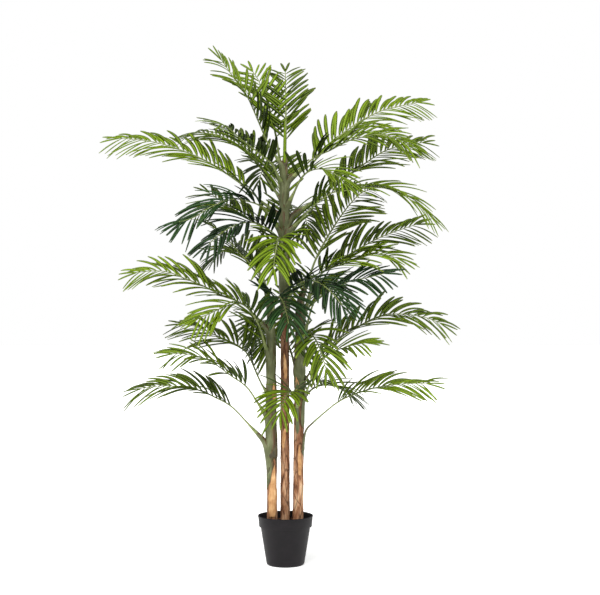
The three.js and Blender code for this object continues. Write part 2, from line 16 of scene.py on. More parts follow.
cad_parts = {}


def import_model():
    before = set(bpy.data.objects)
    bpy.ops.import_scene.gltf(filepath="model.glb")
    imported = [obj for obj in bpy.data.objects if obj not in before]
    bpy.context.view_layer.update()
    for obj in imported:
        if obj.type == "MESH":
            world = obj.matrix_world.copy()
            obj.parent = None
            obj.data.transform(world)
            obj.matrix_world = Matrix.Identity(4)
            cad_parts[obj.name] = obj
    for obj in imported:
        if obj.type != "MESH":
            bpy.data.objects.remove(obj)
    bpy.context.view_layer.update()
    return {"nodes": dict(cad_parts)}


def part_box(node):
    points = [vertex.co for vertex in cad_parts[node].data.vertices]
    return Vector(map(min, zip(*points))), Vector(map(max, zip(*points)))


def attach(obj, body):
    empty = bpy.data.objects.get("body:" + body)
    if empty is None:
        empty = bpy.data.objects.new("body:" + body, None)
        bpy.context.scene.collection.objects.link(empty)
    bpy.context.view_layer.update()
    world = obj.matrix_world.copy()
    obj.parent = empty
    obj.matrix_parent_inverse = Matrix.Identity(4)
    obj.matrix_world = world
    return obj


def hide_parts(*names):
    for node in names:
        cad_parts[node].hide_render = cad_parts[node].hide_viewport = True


LOG = logging.getLogger("potted_palm")
MM = 0.001
UP = np.array([0.0, 0.0, 1.0])
WHITE = (1.0, 1.0, 1.0, 1.0)
BODY = "root"  # the plant has no joints, so every piece rides on one body
Finishes = dict[str, bpy.types.Material]  # every material of the palm, by what it covers
Inputs = dict[str | int, object]  # a shader node's inputs, by name or number


class Slot(Enum):
    """Names of material slots, passed to settle()."""

    POT = "pot"
    SOIL = "soil"
    CANE = "cane"
    CROWNSHAFT = "crownshaft"
    FROND = "frond"
    DRY_SHEATH = "dry_sheath"


class CaneName(Enum):
    """The three canes, by where they stand."""

    LEFT = "left"
    MIDDLE = "middle"
    RIGHT = "right"


# ---------------------------------------------------------------- small tools


def linear(code: str) -> tuple[float, float, float, float]:
    """Turn an sRGB hex colour into a linear one.

    Args:
        code: The colour, such as "#5e7831".

    Returns:
        Red, green, blue and an alpha of one.
    """
    parts = [int(code[k : k + 2], 16) / 255 for k in (1, 3, 5)]
    red, green, blue = (c / 12.92 if c <= 0.04045 else ((c + 0.055) / 1.055) ** 2.4 for c in parts)
    return red, green, blue, 1.0


def mix(a: float, b: float, share: float) -> float:
    """Return the value that lies share of the way from a to b."""
    return a + (b - a) * share


def ease(value: float) -> float:
    """Return value held between 0 and 1 and smoothed at both ends."""
    held = min(max(value, 0.0), 1.0)
    return held * held * (3 - 2 * held)


def unit(vector: np.ndarray) -> np.ndarray:
    """Return the vector scaled to a length of one."""
    return vector / max(float(np.linalg.norm(vector)), 1e-12)


def ruffle(point: np.ndarray, scale: float, seed: float = 0.0) -> float:
    """Return smooth noise from -1 to 1 at a point.

    Args:
        point: Where, in metres.
        scale: How many bumps to a metre.
        seed: Moves the pattern.

    Returns:
        The noise there.
    """
    return noise.noise(Vector((point[0] * scale + seed, point[1] * scale - seed, point[2] * scale)))


def circle(
    radius: float, height: float, count: int, middle: tuple[float, float] = (0.0, 0.0)
) -> np.ndarray:
    """Return a level ring of points.

    Args:
        radius: Its radius.
        height: Its height.
        count: How many points it has.
        middle: Where its middle is, seen from above.

    Returns:
        The points, one row each.
    """
    turns = np.linspace(0, 2 * math.pi, count, endpoint=False)
    return np.array(
        [[middle[0] + radius * math.cos(a), middle[1] + radius * math.sin(a), height] for a in turns]
    )


def feed(tree: bpy.types.NodeTree, node: bpy.types.Node, inputs: Inputs) -> None:
    """Set or link a node's inputs.

    Args:
        tree: The node tree.
        node: The node.
        inputs: Socket names or numbers, each with a value, a socket to link from, or a node, which
            stands for its first output in use.
    """
    for name, value in inputs.items():
        if isinstance(value, bpy.types.Node):
            value = next(out for out in value.outputs if out.enabled)
        if isinstance(value, bpy.types.NodeSocket):
            tree.links.new(value, node.inputs[name])
        else:
            node.inputs[name].default_value = value


def add_node(
    tree: bpy.types.NodeTree,
    kind: str,
    inputs: Inputs | None = None,
    stops: list[tuple[float, str]] | None = None,
    **settings: str | bool,
) -> bpy.types.Node:
    """Add a shader node with its settings and links.

    Args:
        tree: The node tree.
        kind: The node's type, without its "ShaderNode" prefix.
        inputs: What feed() gives its sockets.
        stops: A colour ramp's places from 0 to 1, each with an sRGB hex colour.
        **settings: Properties to set on the node.

    Returns:
        The new node.
    """
    made = tree.nodes.new("ShaderNode" + kind)
    for name, value in settings.items():
        setattr(made, name, value)
    feed(tree, made, inputs or {})
    if stops:
        while len(made.color_ramp.elements) < len(stops):
            made.color_ramp.elements.new(0.5)
        for element, (place, code) in zip(made.color_ramp.elements, stops):
            element.position = place
            element.color = linear(code)
    return made


def start_material(name: str) -> tuple[bpy.types.Material, bpy.types.NodeTree, bpy.types.Node]:
    """Make a material with an empty Principled shader.

    Args:
        name: The material's name.

    Returns:
        The material, its node tree and its Principled node.
    """
    material = bpy.data.materials.new(name)
    material.use_nodes = True
    tree = material.node_tree
    return material, tree, tree.nodes["Principled BSDF"]


# ---------------------------------------------------------------- finishes


@dataclass(frozen=True)
class LeafBlade:
    """Living palm leaflet, grown with a waxy skin: a soft gloss over green that differs leaf by leaf."""

    name: str
    deep: str
    fresh: str
    dry: str
    rib: str
    roughness: float
    specular: float
    blotch_mm: float = 25.0

    def material(self) -> bpy.types.Material:
        """Make the material, whose green follows the leaflet's own tint and pales to its tip.

        Returns:
            The material.
        """
        material, tree, shader = start_material(self.name)
        tint, along, across = (
            add_node(tree, "Attribute", attribute_name=label).outputs["Fac"]
            for label in ("tint", "along", "across")
        )
        place = add_node(tree, "TexCoord").outputs["Object"]
        blotch = add_node(
            tree, "TexNoise", {"Vector": place, "Scale": 1 / (self.blotch_mm * MM), "Detail": 2.0}
        )
        tone = add_node(tree, "Math", {0: blotch, 1: -0.5}, operation="ADD")
        tone = add_node(tree, "Math", {0: tone, 1: 0.5, 2: tint}, operation="MULTIPLY_ADD", use_clamp=True)
        green = add_node(tree, "ValToRGB", {"Fac": tone}, [(0.0, self.deep), (1.0, self.fresh)])
        # The last tenth of a leaflet pales towards straw.
        tip = add_node(tree, "MapRange", {"Value": along, "From Min": 0.88, "From Max": 1.0, "To Max": 0.45})
        green = add_node(tree, "Mix", {"Factor": tip, "A": green, "B": linear(self.dry)}, data_type="RGBA")
        # The midrib is a paler line that fades out over the middle fifth of the blade.
        near = add_node(tree, "Math", {0: across}, operation="ABSOLUTE")
        rib = add_node(tree, "MapRange", {"Value": near, "From Max": 0.22, "To Min": 0.55, "To Max": 0.0})
        green = add_node(tree, "Mix", {"Factor": rib, "A": green, "B": linear(self.rib)}, data_type="RGBA")
        # Veins run the length of a leaflet, drawn about 1.5 mm apart.
        veins = add_node(tree, "Math", {0: across, 1: 26.0}, operation="MULTIPLY")
        veins = add_node(tree, "Math", {0: veins}, operation="SINE")
        bump = add_node(tree, "Bump", {"Height": veins, "Strength": 0.25, "Distance": 0.4 * MM})
        feed(tree, shader, {"Base Color": green, "Normal": bump, "Roughness": self.roughness})
        feed(tree, shader, {"Specular IOR Level": self.specular})
        return material


@dataclass(frozen=True)
class GrownFibre:
    """Stalks and leaf bases: grown skin over fibres that run lengthwise, blotched and scarred."""

    name: str
    dark: str
    body: str
    light: str
    fibre_mm: float
    blotch_mm: float
    roughness: float
    relief_mm: float
    edge: str = ""  # the colour of its dried margins, if it has any
    squeeze: float = 0.08  # a streak's width as a share of its length
    uneven: float = 0.12  # how far its roughness strays to either side

    def material(self) -> bpy.types.Material:
        """Make the material: streaks along the height over slower blotches.

        Returns:
            The material.
        """
        material, tree, shader = start_material(self.name)
        place = add_node(tree, "TexCoord").outputs["Object"]
        squeezed = add_node(tree, "Mapping", {"Vector": place, "Scale": (1.0, 1.0, self.squeeze)})
        streaks = add_node(
            tree,
            "TexNoise",
            {"Vector": squeezed, "Scale": 1 / (self.fibre_mm * MM), "Detail": 4.0, "Roughness": 0.65},
        )
        blotch = add_node(
            tree, "TexNoise", {"Vector": place, "Scale": 1 / (self.blotch_mm * MM), "Detail": 3.0}
        )
        tone = add_node(tree, "Math", {0: streaks, 1: 0.55}, operation="MULTIPLY")
        tone = add_node(tree, "Math", {0: blotch, 1: 0.55, 2: tone}, operation="MULTIPLY_ADD")
        stops = [(0.36, self.dark), (0.54, self.body), (0.72, self.light)]
        colour = add_node(tree, "ValToRGB", {"Fac": tone}, stops)
        if self.edge:
            across = add_node(tree, "Attribute", attribute_name="across").outputs["Fac"]
            off = add_node(tree, "Math", {0: across}, operation="ABSOLUTE")
            off = add_node(tree, "Math", {0: blotch, 1: 0.5, 2: off}, operation="MULTIPLY_ADD")
            reach = {"Value": off, "From Min": 0.98, "From Max": 1.22, "To Max": 0.9}
            margin = add_node(tree, "MapRange", reach)
            dried = {"Factor": margin, "A": colour, "B": linear(self.edge)}
            colour = add_node(tree, "Mix", dried, data_type="RGBA")
        bump = add_node(tree, "Bump", {"Height": streaks, "Strength": 0.6, "Distance": self.relief_mm * MM})
        smooth, coarse = self.roughness - self.uneven, self.roughness + self.uneven
        rough = add_node(tree, "MapRange", {"Value": streaks, "To Min": smooth, "To Max": coarse})
        feed(tree, shader, {"Base Color": colour, "Roughness": rough, "Normal": bump})
        return material


@dataclass(frozen=True)
class PalmBark:
    """Old palm stem, grown and weathered: tan and brown plates of fibre, split by dark cracks."""

    name: str = "weathered_palm_bark"
    crack: str = "#2b170e"
    dark: str = "#63402b"
    body: str = "#996a4a"
    light: str = "#bf9370"
    bare: str = "#dcb892"
    aged: str = "#4f2a1b"
    plate_mm: float = 17.0
    fibre_mm: float = 2.4
    plate_squeeze: float = 0.24  # a plate's width as a share of its length
    fibre_squeeze: float = 0.07  # and a fibre's
    aged_from: float = 0.36  # metres up the stem
    aged_by: float = 0.56
    roughness: float = 0.86

    def material(self) -> bpy.types.Material:
        """Make the material: plates, the cracks between them and the fibres in them.

        Returns:
            The material.
        """
        material, tree, shader = start_material(self.name)
        place = add_node(tree, "TexCoord").outputs["Object"]
        tall = add_node(tree, "Mapping", {"Vector": place, "Scale": (1.0, 1.0, self.plate_squeeze)})
        fine = add_node(tree, "Mapping", {"Vector": place, "Scale": (1.0, 1.0, self.fibre_squeeze)})
        plate = {"Vector": tall, "Scale": 1 / (self.plate_mm * MM)}
        plates = add_node(tree, "TexNoise", {**plate, "Detail": 5.0, "Roughness": 0.62})
        stops = [(0.36, self.dark), (0.45, self.body), (0.55, self.light), (0.66, self.bare)]
        colour = add_node(tree, "ValToRGB", {"Fac": plates}, stops)
        # Old fibre stays on the upper stem, which is darker and redder.
        height = add_node(tree, "SeparateXYZ", {"Vector": place}).outputs["Z"]
        rise = {"Value": height, "From Min": self.aged_from, "From Max": self.aged_by, "To Max": 0.58}
        upper = add_node(tree, "MapRange", rise)
        reddened = {"Factor": upper, "A": colour, "B": linear(self.aged)}
        colour = add_node(tree, "Mix", reddened, data_type="RGBA")
        fibre = {"Vector": fine, "Scale": 1 / (self.fibre_mm * MM), "Detail": 4.0}
        fibres = add_node(tree, "TexNoise", fibre)
        thin = {"Value": fibres, "From Min": 0.5, "From Max": 0.62, "To Max": 0.5}
        streaked = {"Factor": add_node(tree, "MapRange", thin), "A": colour, "B": linear(self.dark)}
        colour = add_node(tree, "Mix", streaked, data_type="RGBA")
        # Cracks follow the plates' borders, made ragged by the fibres.
        cracks = add_node(tree, "TexVoronoi", {**plate, "Randomness": 1.0}, feature="DISTANCE_TO_EDGE")
        ragged = add_node(
            tree, "Math", {0: fibres, 1: 0.22, 2: cracks.outputs["Distance"]}, operation="MULTIPLY_ADD"
        )
        reach = {"Value": ragged, "From Min": 0.1, "From Max": 0.17, "To Min": 0.85, "To Max": 0.0}
        gap = add_node(tree, "MapRange", reach)
        cracked = {"Factor": gap, "A": colour, "B": linear(self.crack)}
        colour = add_node(tree, "Mix", cracked, data_type="RGBA")
        depth = add_node(tree, "Math", {0: gap, 1: -0.8, 2: fibres}, operation="MULTIPLY_ADD")
        bump = add_node(tree, "Bump", {"Height": depth, "Strength": 0.9, "Distance": 1.6 * MM})
        feed(tree, shader, {"Base Color": colour, "Normal": bump, "Roughness": self.roughness})
        feed(tree, shader, {"Specular IOR Level": 0.25})
        return material


@dataclass(frozen=True)
class MouldedPolypropylene:
    """Thin black polypropylene, injection moulded: an even satin skin with dust in its grain."""

    name: str = "moulded_black_polypropylene"
    body: str = "#0b080b"
    dust: str = "#191418"
    roughness: float = 0.5
    dust_scale: float = 28.0  # patches of about 36 mm
    grain_scale: float = 900.0  # a mould grain of about 1.1 mm, coarser than the real one

    def material(self) -> bpy.types.Material:
        """Make the material: near black, greyer where dust has settled, with a fine mould grain.

        Returns:
            The material.
        """
        material, tree, shader = start_material(self.name)
        place = add_node(tree, "TexCoord").outputs["Object"]
        dust = add_node(
            tree, "TexNoise", {"Vector": place, "Scale": self.dust_scale, "Detail": 6.0, "Roughness": 0.7}
        )
        colour = add_node(tree, "ValToRGB", {"Fac": dust}, [(0.45, self.body), (0.8, self.dust)])
        grain = add_node(tree, "TexNoise", {"Vector": place, "Scale": self.grain_scale, "Detail": 2.0})
        bump = add_node(tree, "Bump", {"Height": grain, "Strength": 0.15, "Distance": 0.2 * MM})
        smooth, coarse = self.roughness - 0.1, self.roughness + 0.15
        rough = add_node(tree, "MapRange", {"Value": dust, "To Min": smooth, "To Max": coarse})
        feed(tree, shader, {"Base Color": colour, "Roughness": rough, "Normal": bump})
        feed(tree, shader, {"IOR": 1.49, "Specular IOR Level": 0.22})
        return material


@dataclass(frozen=True)
class PottingMix:
    """Peat with composted bark: dark, matte and crumbly, with redder bits of bark."""

    name: str
    wet: str
    body: str
    bark: str
    crumb_mm: float = 4.0
    relief_mm: float = 1.5

    def material(self) -> bpy.types.Material:
        """Make the material: crumbs in three browns.

        Returns:
            The material.
        """
        material, tree, shader = start_material(self.name)
        place = add_node(tree, "TexCoord").outputs["Object"]
        crumbs = add_node(tree, "TexVoronoi", {"Vector": place, "Scale": 1 / (self.crumb_mm * MM)})
        fine = add_node(tree, "TexNoise", {"Vector": place, "Scale": 420.0, "Detail": 3.0})
        pick = add_node(tree, "SeparateColor", {"Color": crumbs.outputs["Color"]}).outputs["Red"]
        stops = [(0.0, self.wet), (0.6, self.body), (1.0, self.bark)]
        colour = add_node(tree, "ValToRGB", {"Fac": pick}, stops)
        bump = add_node(tree, "Bump", {"Height": fine, "Strength": 0.8, "Distance": self.relief_mm * MM})
        feed(tree, shader, {"Base Color": colour, "Normal": bump})
        feed(tree, shader, {"Roughness": 0.95, "Specular IOR Level": 0.2})
        return material


@dataclass(frozen=True)
class StudioPaper:
    """White opal acrylic, cast smooth and lit from below: matte, with no edge in sight."""

    name: str = "lit_opal_acrylic"
    dull: str = "#f8f8f7"
    body: str = "#fbfbfa"
    glow: float = 0.52

    def material(self) -> bpy.types.Material:
        """Make the material: nearly white, and as bright as the light round it.

        Returns:
            The material.
        """
        material, tree, shader = start_material(self.name)
        place = add_node(tree, "TexCoord").outputs["Object"]
        tooth = add_node(tree, "TexNoise", {"Vector": place, "Scale": 60.0})
        colour = add_node(tree, "ValToRGB", {"Fac": tooth}, [(0.0, self.dull), (1.0, self.body)])
        feed(tree, shader, {"Base Color": colour, "Roughness": 0.9})
        feed(tree, shader, {"Emission Color": WHITE, "Emission Strength": self.glow})
        return material


# ---------------------------------------------------------------- meshes


@dataclass
class Shell:
    """A mesh in the making: points with values on them, and faces with a finish each."""

    points: list[np.ndarray] = field(default_factory=list)
    faces: list[tuple[int, ...]] = field(default_factory=list)
    finish: list[int] = field(default_factory=list)
    values: dict[str, list[float]] = field(
        default_factory=lambda: {"tint": [], "along": [], "across": []}
    )

    def add_points(
        self, points: np.ndarray, tint: float = 0.5, along: float = 0.0, across: list[float] | None = None
    ) -> int:
        """Add a run of points.

        Args:
            points: The places, one row each.
            tint: The piece's own shade, from 0 to 1.
            along: How far along the piece they are, from 0 to 1.
            across: How far off its middle each one is, from -1 to 1.

        Returns:
            The index of the first one.
        """
        first = len(self.points)
        self.points.extend(points)
        count = len(points)
        self.values["tint"].extend([tint] * count)
        self.values["along"].extend([along] * count)
        self.values["across"].extend(across if across is not None else [1.0] * count)
        return first

    def add_face(self, corners: tuple[int, ...], finish: int) -> None:
        """Add one face with the number of its finish."""
        self.faces.append(corners)
        self.finish.append(finish)

    def skin(self, rings: list[int], sides: int, finish: int, closed: bool = True) -> None:
        """Join rings of points into a closed skin.

        Args:
            rings: The index of each ring's first point.
            sides: How many points a ring has.
            finish: The number of the finish.
            closed: Whether both ends get a cap.
        """
        for low, high in zip(rings, rings[1:]):
            for k in range(sides):
                n = (k + 1) % sides
                self.add_face((low + k, low + n, high + n, high + k), finish)
        if closed:
            self.add_face(tuple(rings[0] + k for k in reversed(range(sides))), finish)
            self.add_face(tuple(rings[-1] + k for k in range(sides)), finish)

    def build(self, name: str, materials: list[bpy.types.Material], smooth: bool = True) -> bpy.types.Object:
        """Make the object.

        Args:
            name: The object's name.
            materials: The finishes, in the order of their numbers.
            smooth: Whether its faces are shaded smoothly.

        Returns:
            The object, linked to the scene.
        """
        mesh = bpy.data.meshes.new(name)
        mesh.from_pydata([tuple(p) for p in self.points], [], self.faces)
        for label, numbers in self.values.items():
            layer = mesh.attributes.new(label, "FLOAT", "POINT")
            layer.data.foreach_set("value", numbers)
        for material in materials:
            mesh.materials.append(material)
        mesh.polygons.foreach_set("material_index", self.finish)
        mesh.polygons.foreach_set("use_smooth", [smooth] * len(self.faces))
        mesh.update()
        made = bpy.data.objects.new(name, mesh)
        bpy.context.scene.collection.objects.link(made)
        return made


def settle(piece: bpy.types.Object, slot: Slot, *nodes: str) -> bpy.types.Object:
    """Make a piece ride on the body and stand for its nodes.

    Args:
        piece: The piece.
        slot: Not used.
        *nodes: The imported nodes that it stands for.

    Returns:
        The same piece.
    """
    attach(piece, BODY)
    if nodes:
        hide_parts(*nodes)
    return piece


def welded(node: bpy.types.Object) -> tuple[np.ndarray, list[tuple[int, int, int]]]:
    """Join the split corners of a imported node.

    Args:
        node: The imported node's object.

    Returns:
        Its points, and its triangles as indices of them.
    """
    index: dict[tuple[int, int, int], int] = {}
    points: list[np.ndarray] = []
    renamed: list[int] = []
    for vertex in node.data.vertices:
        place = np.array(vertex.co, float)
        key = tuple(int(round(c * 1e6)) for c in place)
        if key not in index:
            index[key] = len(points)
            points.append(place)
        renamed.append(index[key])
    triangles = [tuple(renamed[v] for v in face.vertices) for face in node.data.polygons]
    return np.array(points), triangles


# ---------------------------------------------------------------- the canes' axes


@dataclass
class Column:
    """The line and thickness of one cane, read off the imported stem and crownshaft."""

    heights: list[float]
    centres: list[np.ndarray]
    radii: list[float]
    stem_top: float

    @classmethod
    def read(cls, nodes: dict[str, bpy.types.Object], cane: CaneName) -> "Column":
        """Read a cane's rings.

        Args:
            nodes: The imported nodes.
            cane: Which cane.

        Returns:
            Its column.
        """
        heights: list[float] = []
        centres: list[np.ndarray] = []
        radii: list[float] = []
        for node in (f"cane_{cane.value}", f"crownshaft_{cane.value}"):
            points, _ = welded(nodes[node])
            for height in sorted(set(np.round(points[:, 2], 5))):
                ring = points[np.abs(points[:, 2] - height) < 2e-5]
                centre = ring.mean(axis=0)
                heights.append(float(height))
                centres.append(centre)
                radii.append(float(np.linalg.norm(ring - centre, axis=1).mean()))
        top = float(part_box(f"cane_{cane.value}")[1][2])
        return cls(heights, centres, radii, top)

    def centre(self, height: float) -> np.ndarray:
        """Return the axis point at a height."""
        flat = [np.interp(height, self.heights, [c[k] for c in self.centres]) for k in (0, 1)]
        return np.array([flat[0], flat[1], height])

    def radius(self, height: float) -> float:
        """Return the radius at a height."""
        return float(np.interp(height, self.heights, self.radii))

    @property
    def foot(self) -> float:
        """Return the height of the cane's lower end."""
        return self.heights[0]

    @property
    def head(self) -> float:
        """Return the height of the crownshaft's top."""
        return self.heights[-1]


# ---------------------------------------------------------------- fronds


@dataclass
class Station:
    """One cross-section of a frond's stalk: where it is, which way it faces and how wide it is."""

    centre: np.ndarray
    tangent: np.ndarray
    side: np.ndarray
    top: np.ndarray
    width: float
    thickness: float


@dataclass
class FrondPlan:
    """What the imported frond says: its stations, and each leaflet's reach in its station's own axes."""

    stations: list[Station]
    reaches: dict[tuple[int, int], np.ndarray]
    pairs: int = 10  # leaflet pairs on a packed frond
    spare_reach: tuple[float, float, float] = (40 * MM, 60 * MM, 20 * MM)  # on a side that has none

    @property
    def throat(self) -> int:
        """Return the station at which the first leaflets leave the stalk."""
        return len(self.stations) - 1 - self.pairs

    @classmethod
    def read(cls, node: bpy.types.Object) -> "FrondPlan":
        """Read a packed frond, ring by ring from its base.

        Args:
            node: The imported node's object.

        Returns:
            Its plan.
        """
        points, triangles = welded(node)
        beside: list[set[int]] = [set() for _ in points]
        base: set[int] = set()
        for triangle in triangles:
            for a, b in itertools.permutations(triangle, 2):
                beside[a].add(b)
            p, q, r = (points[v] for v in triangle)
            level = max(p[2], q[2], r[2]) - min(p[2], q[2], r[2]) < 1e-6
            if level and np.cross(q - p, r - p)[2] < 0:
                base.update(triangle)
        rings, ends = cls._climb(points, beside, base)
        stations = cls._face(points, rings)
        reaches: dict[tuple[int, int], np.ndarray] = {}
        for step, tip in ends:
            near, far = stations[step], stations[step + 1]
            side, top = unit(near.side + far.side), unit(near.top + far.top)
            tangent = unit(far.centre - near.centre)
            reach = points[tip] - (near.centre + far.centre) / 2
            sign = 1 if float(reach @ side) > 0 else -1
            reaches[(step, sign)] = np.array([reach @ tangent, sign * (reach @ side), reach @ top])
        return cls(stations, reaches)

    @staticmethod
    def _climb(
        points: np.ndarray, beside: list[set[int]], base: set[int]
    ) -> tuple[list[list[int]], list[tuple[int, int]]]:
        """Walk from the base ring to the last one.

        Args:
            points: The frond's points.
            beside: Each point's neighbours.
            base: The base ring's points.

        Returns:
            The rings, and each leaflet's end with the step that it leaves from.
        """

        def girth(four: tuple[int, ...]) -> float:
            """Return the longest distance between any two of four points."""
            return max(np.linalg.norm(points[a] - points[b]) for a, b in itertools.combinations(four, 2))

        rings = [sorted(base)]
        ends: list[tuple[int, int]] = []
        seen = set(base)
        while True:
            around = set().union(*(beside[v] for v in rings[-1])) - seen
            if len(around) < 4:
                return rings, ends
            ring = min(itertools.combinations(sorted(around), 4), key=girth)
            ends.extend((len(rings) - 1, tip) for tip in sorted(around - set(ring)))
            seen |= around
            rings.append(list(ring))

    @staticmethod
    def _face(points: np.ndarray, rings: list[list[int]]) -> list[Station]:
        """Give each ring its axes.

        Args:
            points: The frond's points.
            rings: The rings' points, from the base up.

        Returns:
            The stations.
        """
        centres = [points[ring].mean(axis=0) for ring in rings]
        away = points.mean(axis=0) - centres[0]
        out = unit(np.array([away[0], away[1], 0.0]))
        last = unit(np.cross(UP, out))
        stations: list[Station] = []
        for k, ring in enumerate(rings):
            low, high = centres[max(k - 1, 0)], centres[min(k + 1, len(rings) - 1)]
            tangent = UP if k == 0 else unit(high - low)
            gaps = sorted((points[v] - points[ring[0]] for v in ring[1:]), key=np.linalg.norm)
            side = unit(gaps[1])
            side = side if side @ last > 0 else -side
            last = side
            top = unit(np.cross(tangent, side))
            thickness, width = (float(np.linalg.norm(gap)) for gap in gaps[:2])
            stations.append(Station(centres[k], tangent, side, top, width, thickness))
        return stations

    def at(self, place: float) -> Station:
        """Return the smooth cross-section at a place counted in stations.

        Args:
            place: From 0 at the base to the last station's number.

        Returns:
            The section there.
        """
        last = len(self.stations) - 1
        k = min(max(int(math.floor(place)), 0), last - 1)
        t = place - k
        near, far = self.stations[k], self.stations[k + 1]
        before = self.stations[max(k - 1, 0)].centre
        after = self.stations[min(k + 2, last)].centre
        a, b = near.centre, far.centre
        start, stop = (b - before) / 2, (after - a) / 2
        centre = (
            (2 * t**3 - 3 * t**2 + 1) * a
            + (t**3 - 2 * t**2 + t) * start
            + (3 * t**2 - 2 * t**3) * b
            + (t**3 - t**2) * stop
        )
        slope = (
            (6 * t**2 - 6 * t) * (a - b)
            + (3 * t**2 - 4 * t + 1) * start
            + (3 * t**2 - 2 * t) * stop
        )
        tangent = unit(slope)
        side = near.side * (1 - t) + far.side * t
        side = unit(side - tangent * (side @ tangent))
        top = unit(np.cross(tangent, side))
        width, thickness = mix(near.width, far.width, t), mix(near.thickness, far.thickness, t)
        return Station(centre, tangent, side, top, width, thickness)

    def reach(self, place: float, sign: int) -> np.ndarray:
        """Return a leaflet's reach, in its station's axes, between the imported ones.

        Args:
            place: Where it leaves, counted in stations.
            sign: 1 or -1, for its side.

        Returns:
            How far it goes along, across and above the stalk.
        """
        steps = [k for k in range(self.throat, self.throat + self.pairs) if (k, sign) in self.reaches]
        if not steps:
            return np.array(self.spare_reach)
        middles = [k + 0.5 for k in steps]
        ways = np.array([unit(self.reaches[(k, sign)]) for k in steps])
        sizes = [float(np.linalg.norm(self.reaches[(k, sign)])) for k in steps]
        way = unit(np.array([np.interp(place, middles, ways[:, axis]) for axis in range(3)]))
        return way * float(np.interp(place, middles, sizes))


# The fronds painted darker all over: painted shade for fronds that hang in shade.
SHADE_PAINTED_FRONDS = frozenset(
    ("left_frond_07", "middle_frond_01", "middle_frond_05", "middle_frond_07", "right_frond_09")
)


@dataclass(frozen=True)
class Leaflet:
    """The shape of one leaflet: a long blade, folded along its rib, that arches over."""

    widest: float = 13.5 * MM
    end_width: float = 9 * MM  # of the pair that ends a frond
    thickness: float = 0.5 * MM
    thinning: float = 0.6  # how much of its thickness it loses by its tip
    fold: float = 0.28  # how far the rib stands above the edges, as a share of the half width
    sections: int = 9
    blunt: float = 0.35  # how much of a section its tip stops short
    crowding: float = 1.15  # above 1, its sections stand closer together towards the tip
    base_power: float = 0.5  # how fast it widens from its base
    tip_power: float = 0.42  # and narrows to its tip
    fullness: float = 1.93  # brings the two together to its whole width

    def grow(
        self,
        shell: Shell,
        root: np.ndarray,
        reach: np.ndarray,
        face: np.ndarray,
        bow: np.ndarray,
        width: float,
        tint: float,
    ) -> None:
        """Add one leaflet.

        Args:
            shell: The mesh to add to.
            root: Where it leaves the stalk.
            reach: From there to its end.
            face: The way that its upper face looks.
            bow: How far it bows off the straight line, as a share of its length.
            width: Its widest width.
            tint: Its own shade, from 0 to 1.
        """
        length = float(np.linalg.norm(reach))
        knee = root + reach * 0.5 + bow * length
        rings: list[int] = []
        for k in range(self.sections + 1):
            t = 1 - (1 - k / (self.sections + self.blunt)) ** self.crowding
            spot = (1 - t) ** 2 * root + 2 * t * (1 - t) * knee + t**2 * (root + reach)
            way = unit(2 * (1 - t) * (knee - root) + 2 * t * (root + reach - knee))
            normal = unit(face - way * (face @ way))
            wide = unit(np.cross(way, normal))
            half = width / 2 * (t + 0.015) ** self.base_power * (1 - t) ** self.tip_power * self.fullness
            rise = half * self.fold
            thick = self.thickness * (1 - self.thinning * t)
            ring = np.array([
                spot + wide * half - normal * rise,
                spot + normal * (rise * 0.2 + thick),
                spot - wide * half - normal * rise,
                spot + normal * rise * 0.2,
            ])
            rings.append(shell.add_points(ring, tint, t, [1.0, 0.0, -1.0, 0.0]))
        for low, high in zip(rings, rings[1:]):
            for k, finish in enumerate((0, 0, 1, 1)):
                n = (k + 1) % 4
                shell.add_face((low + k, low + n, high + n, high + k), finish)
        shell.add_face(tuple(rings[0] + k for k in (3, 2, 1, 0)), 1)
        shell.add_face(tuple(rings[-1] + k for k in (0, 1, 2, 3)), 1)


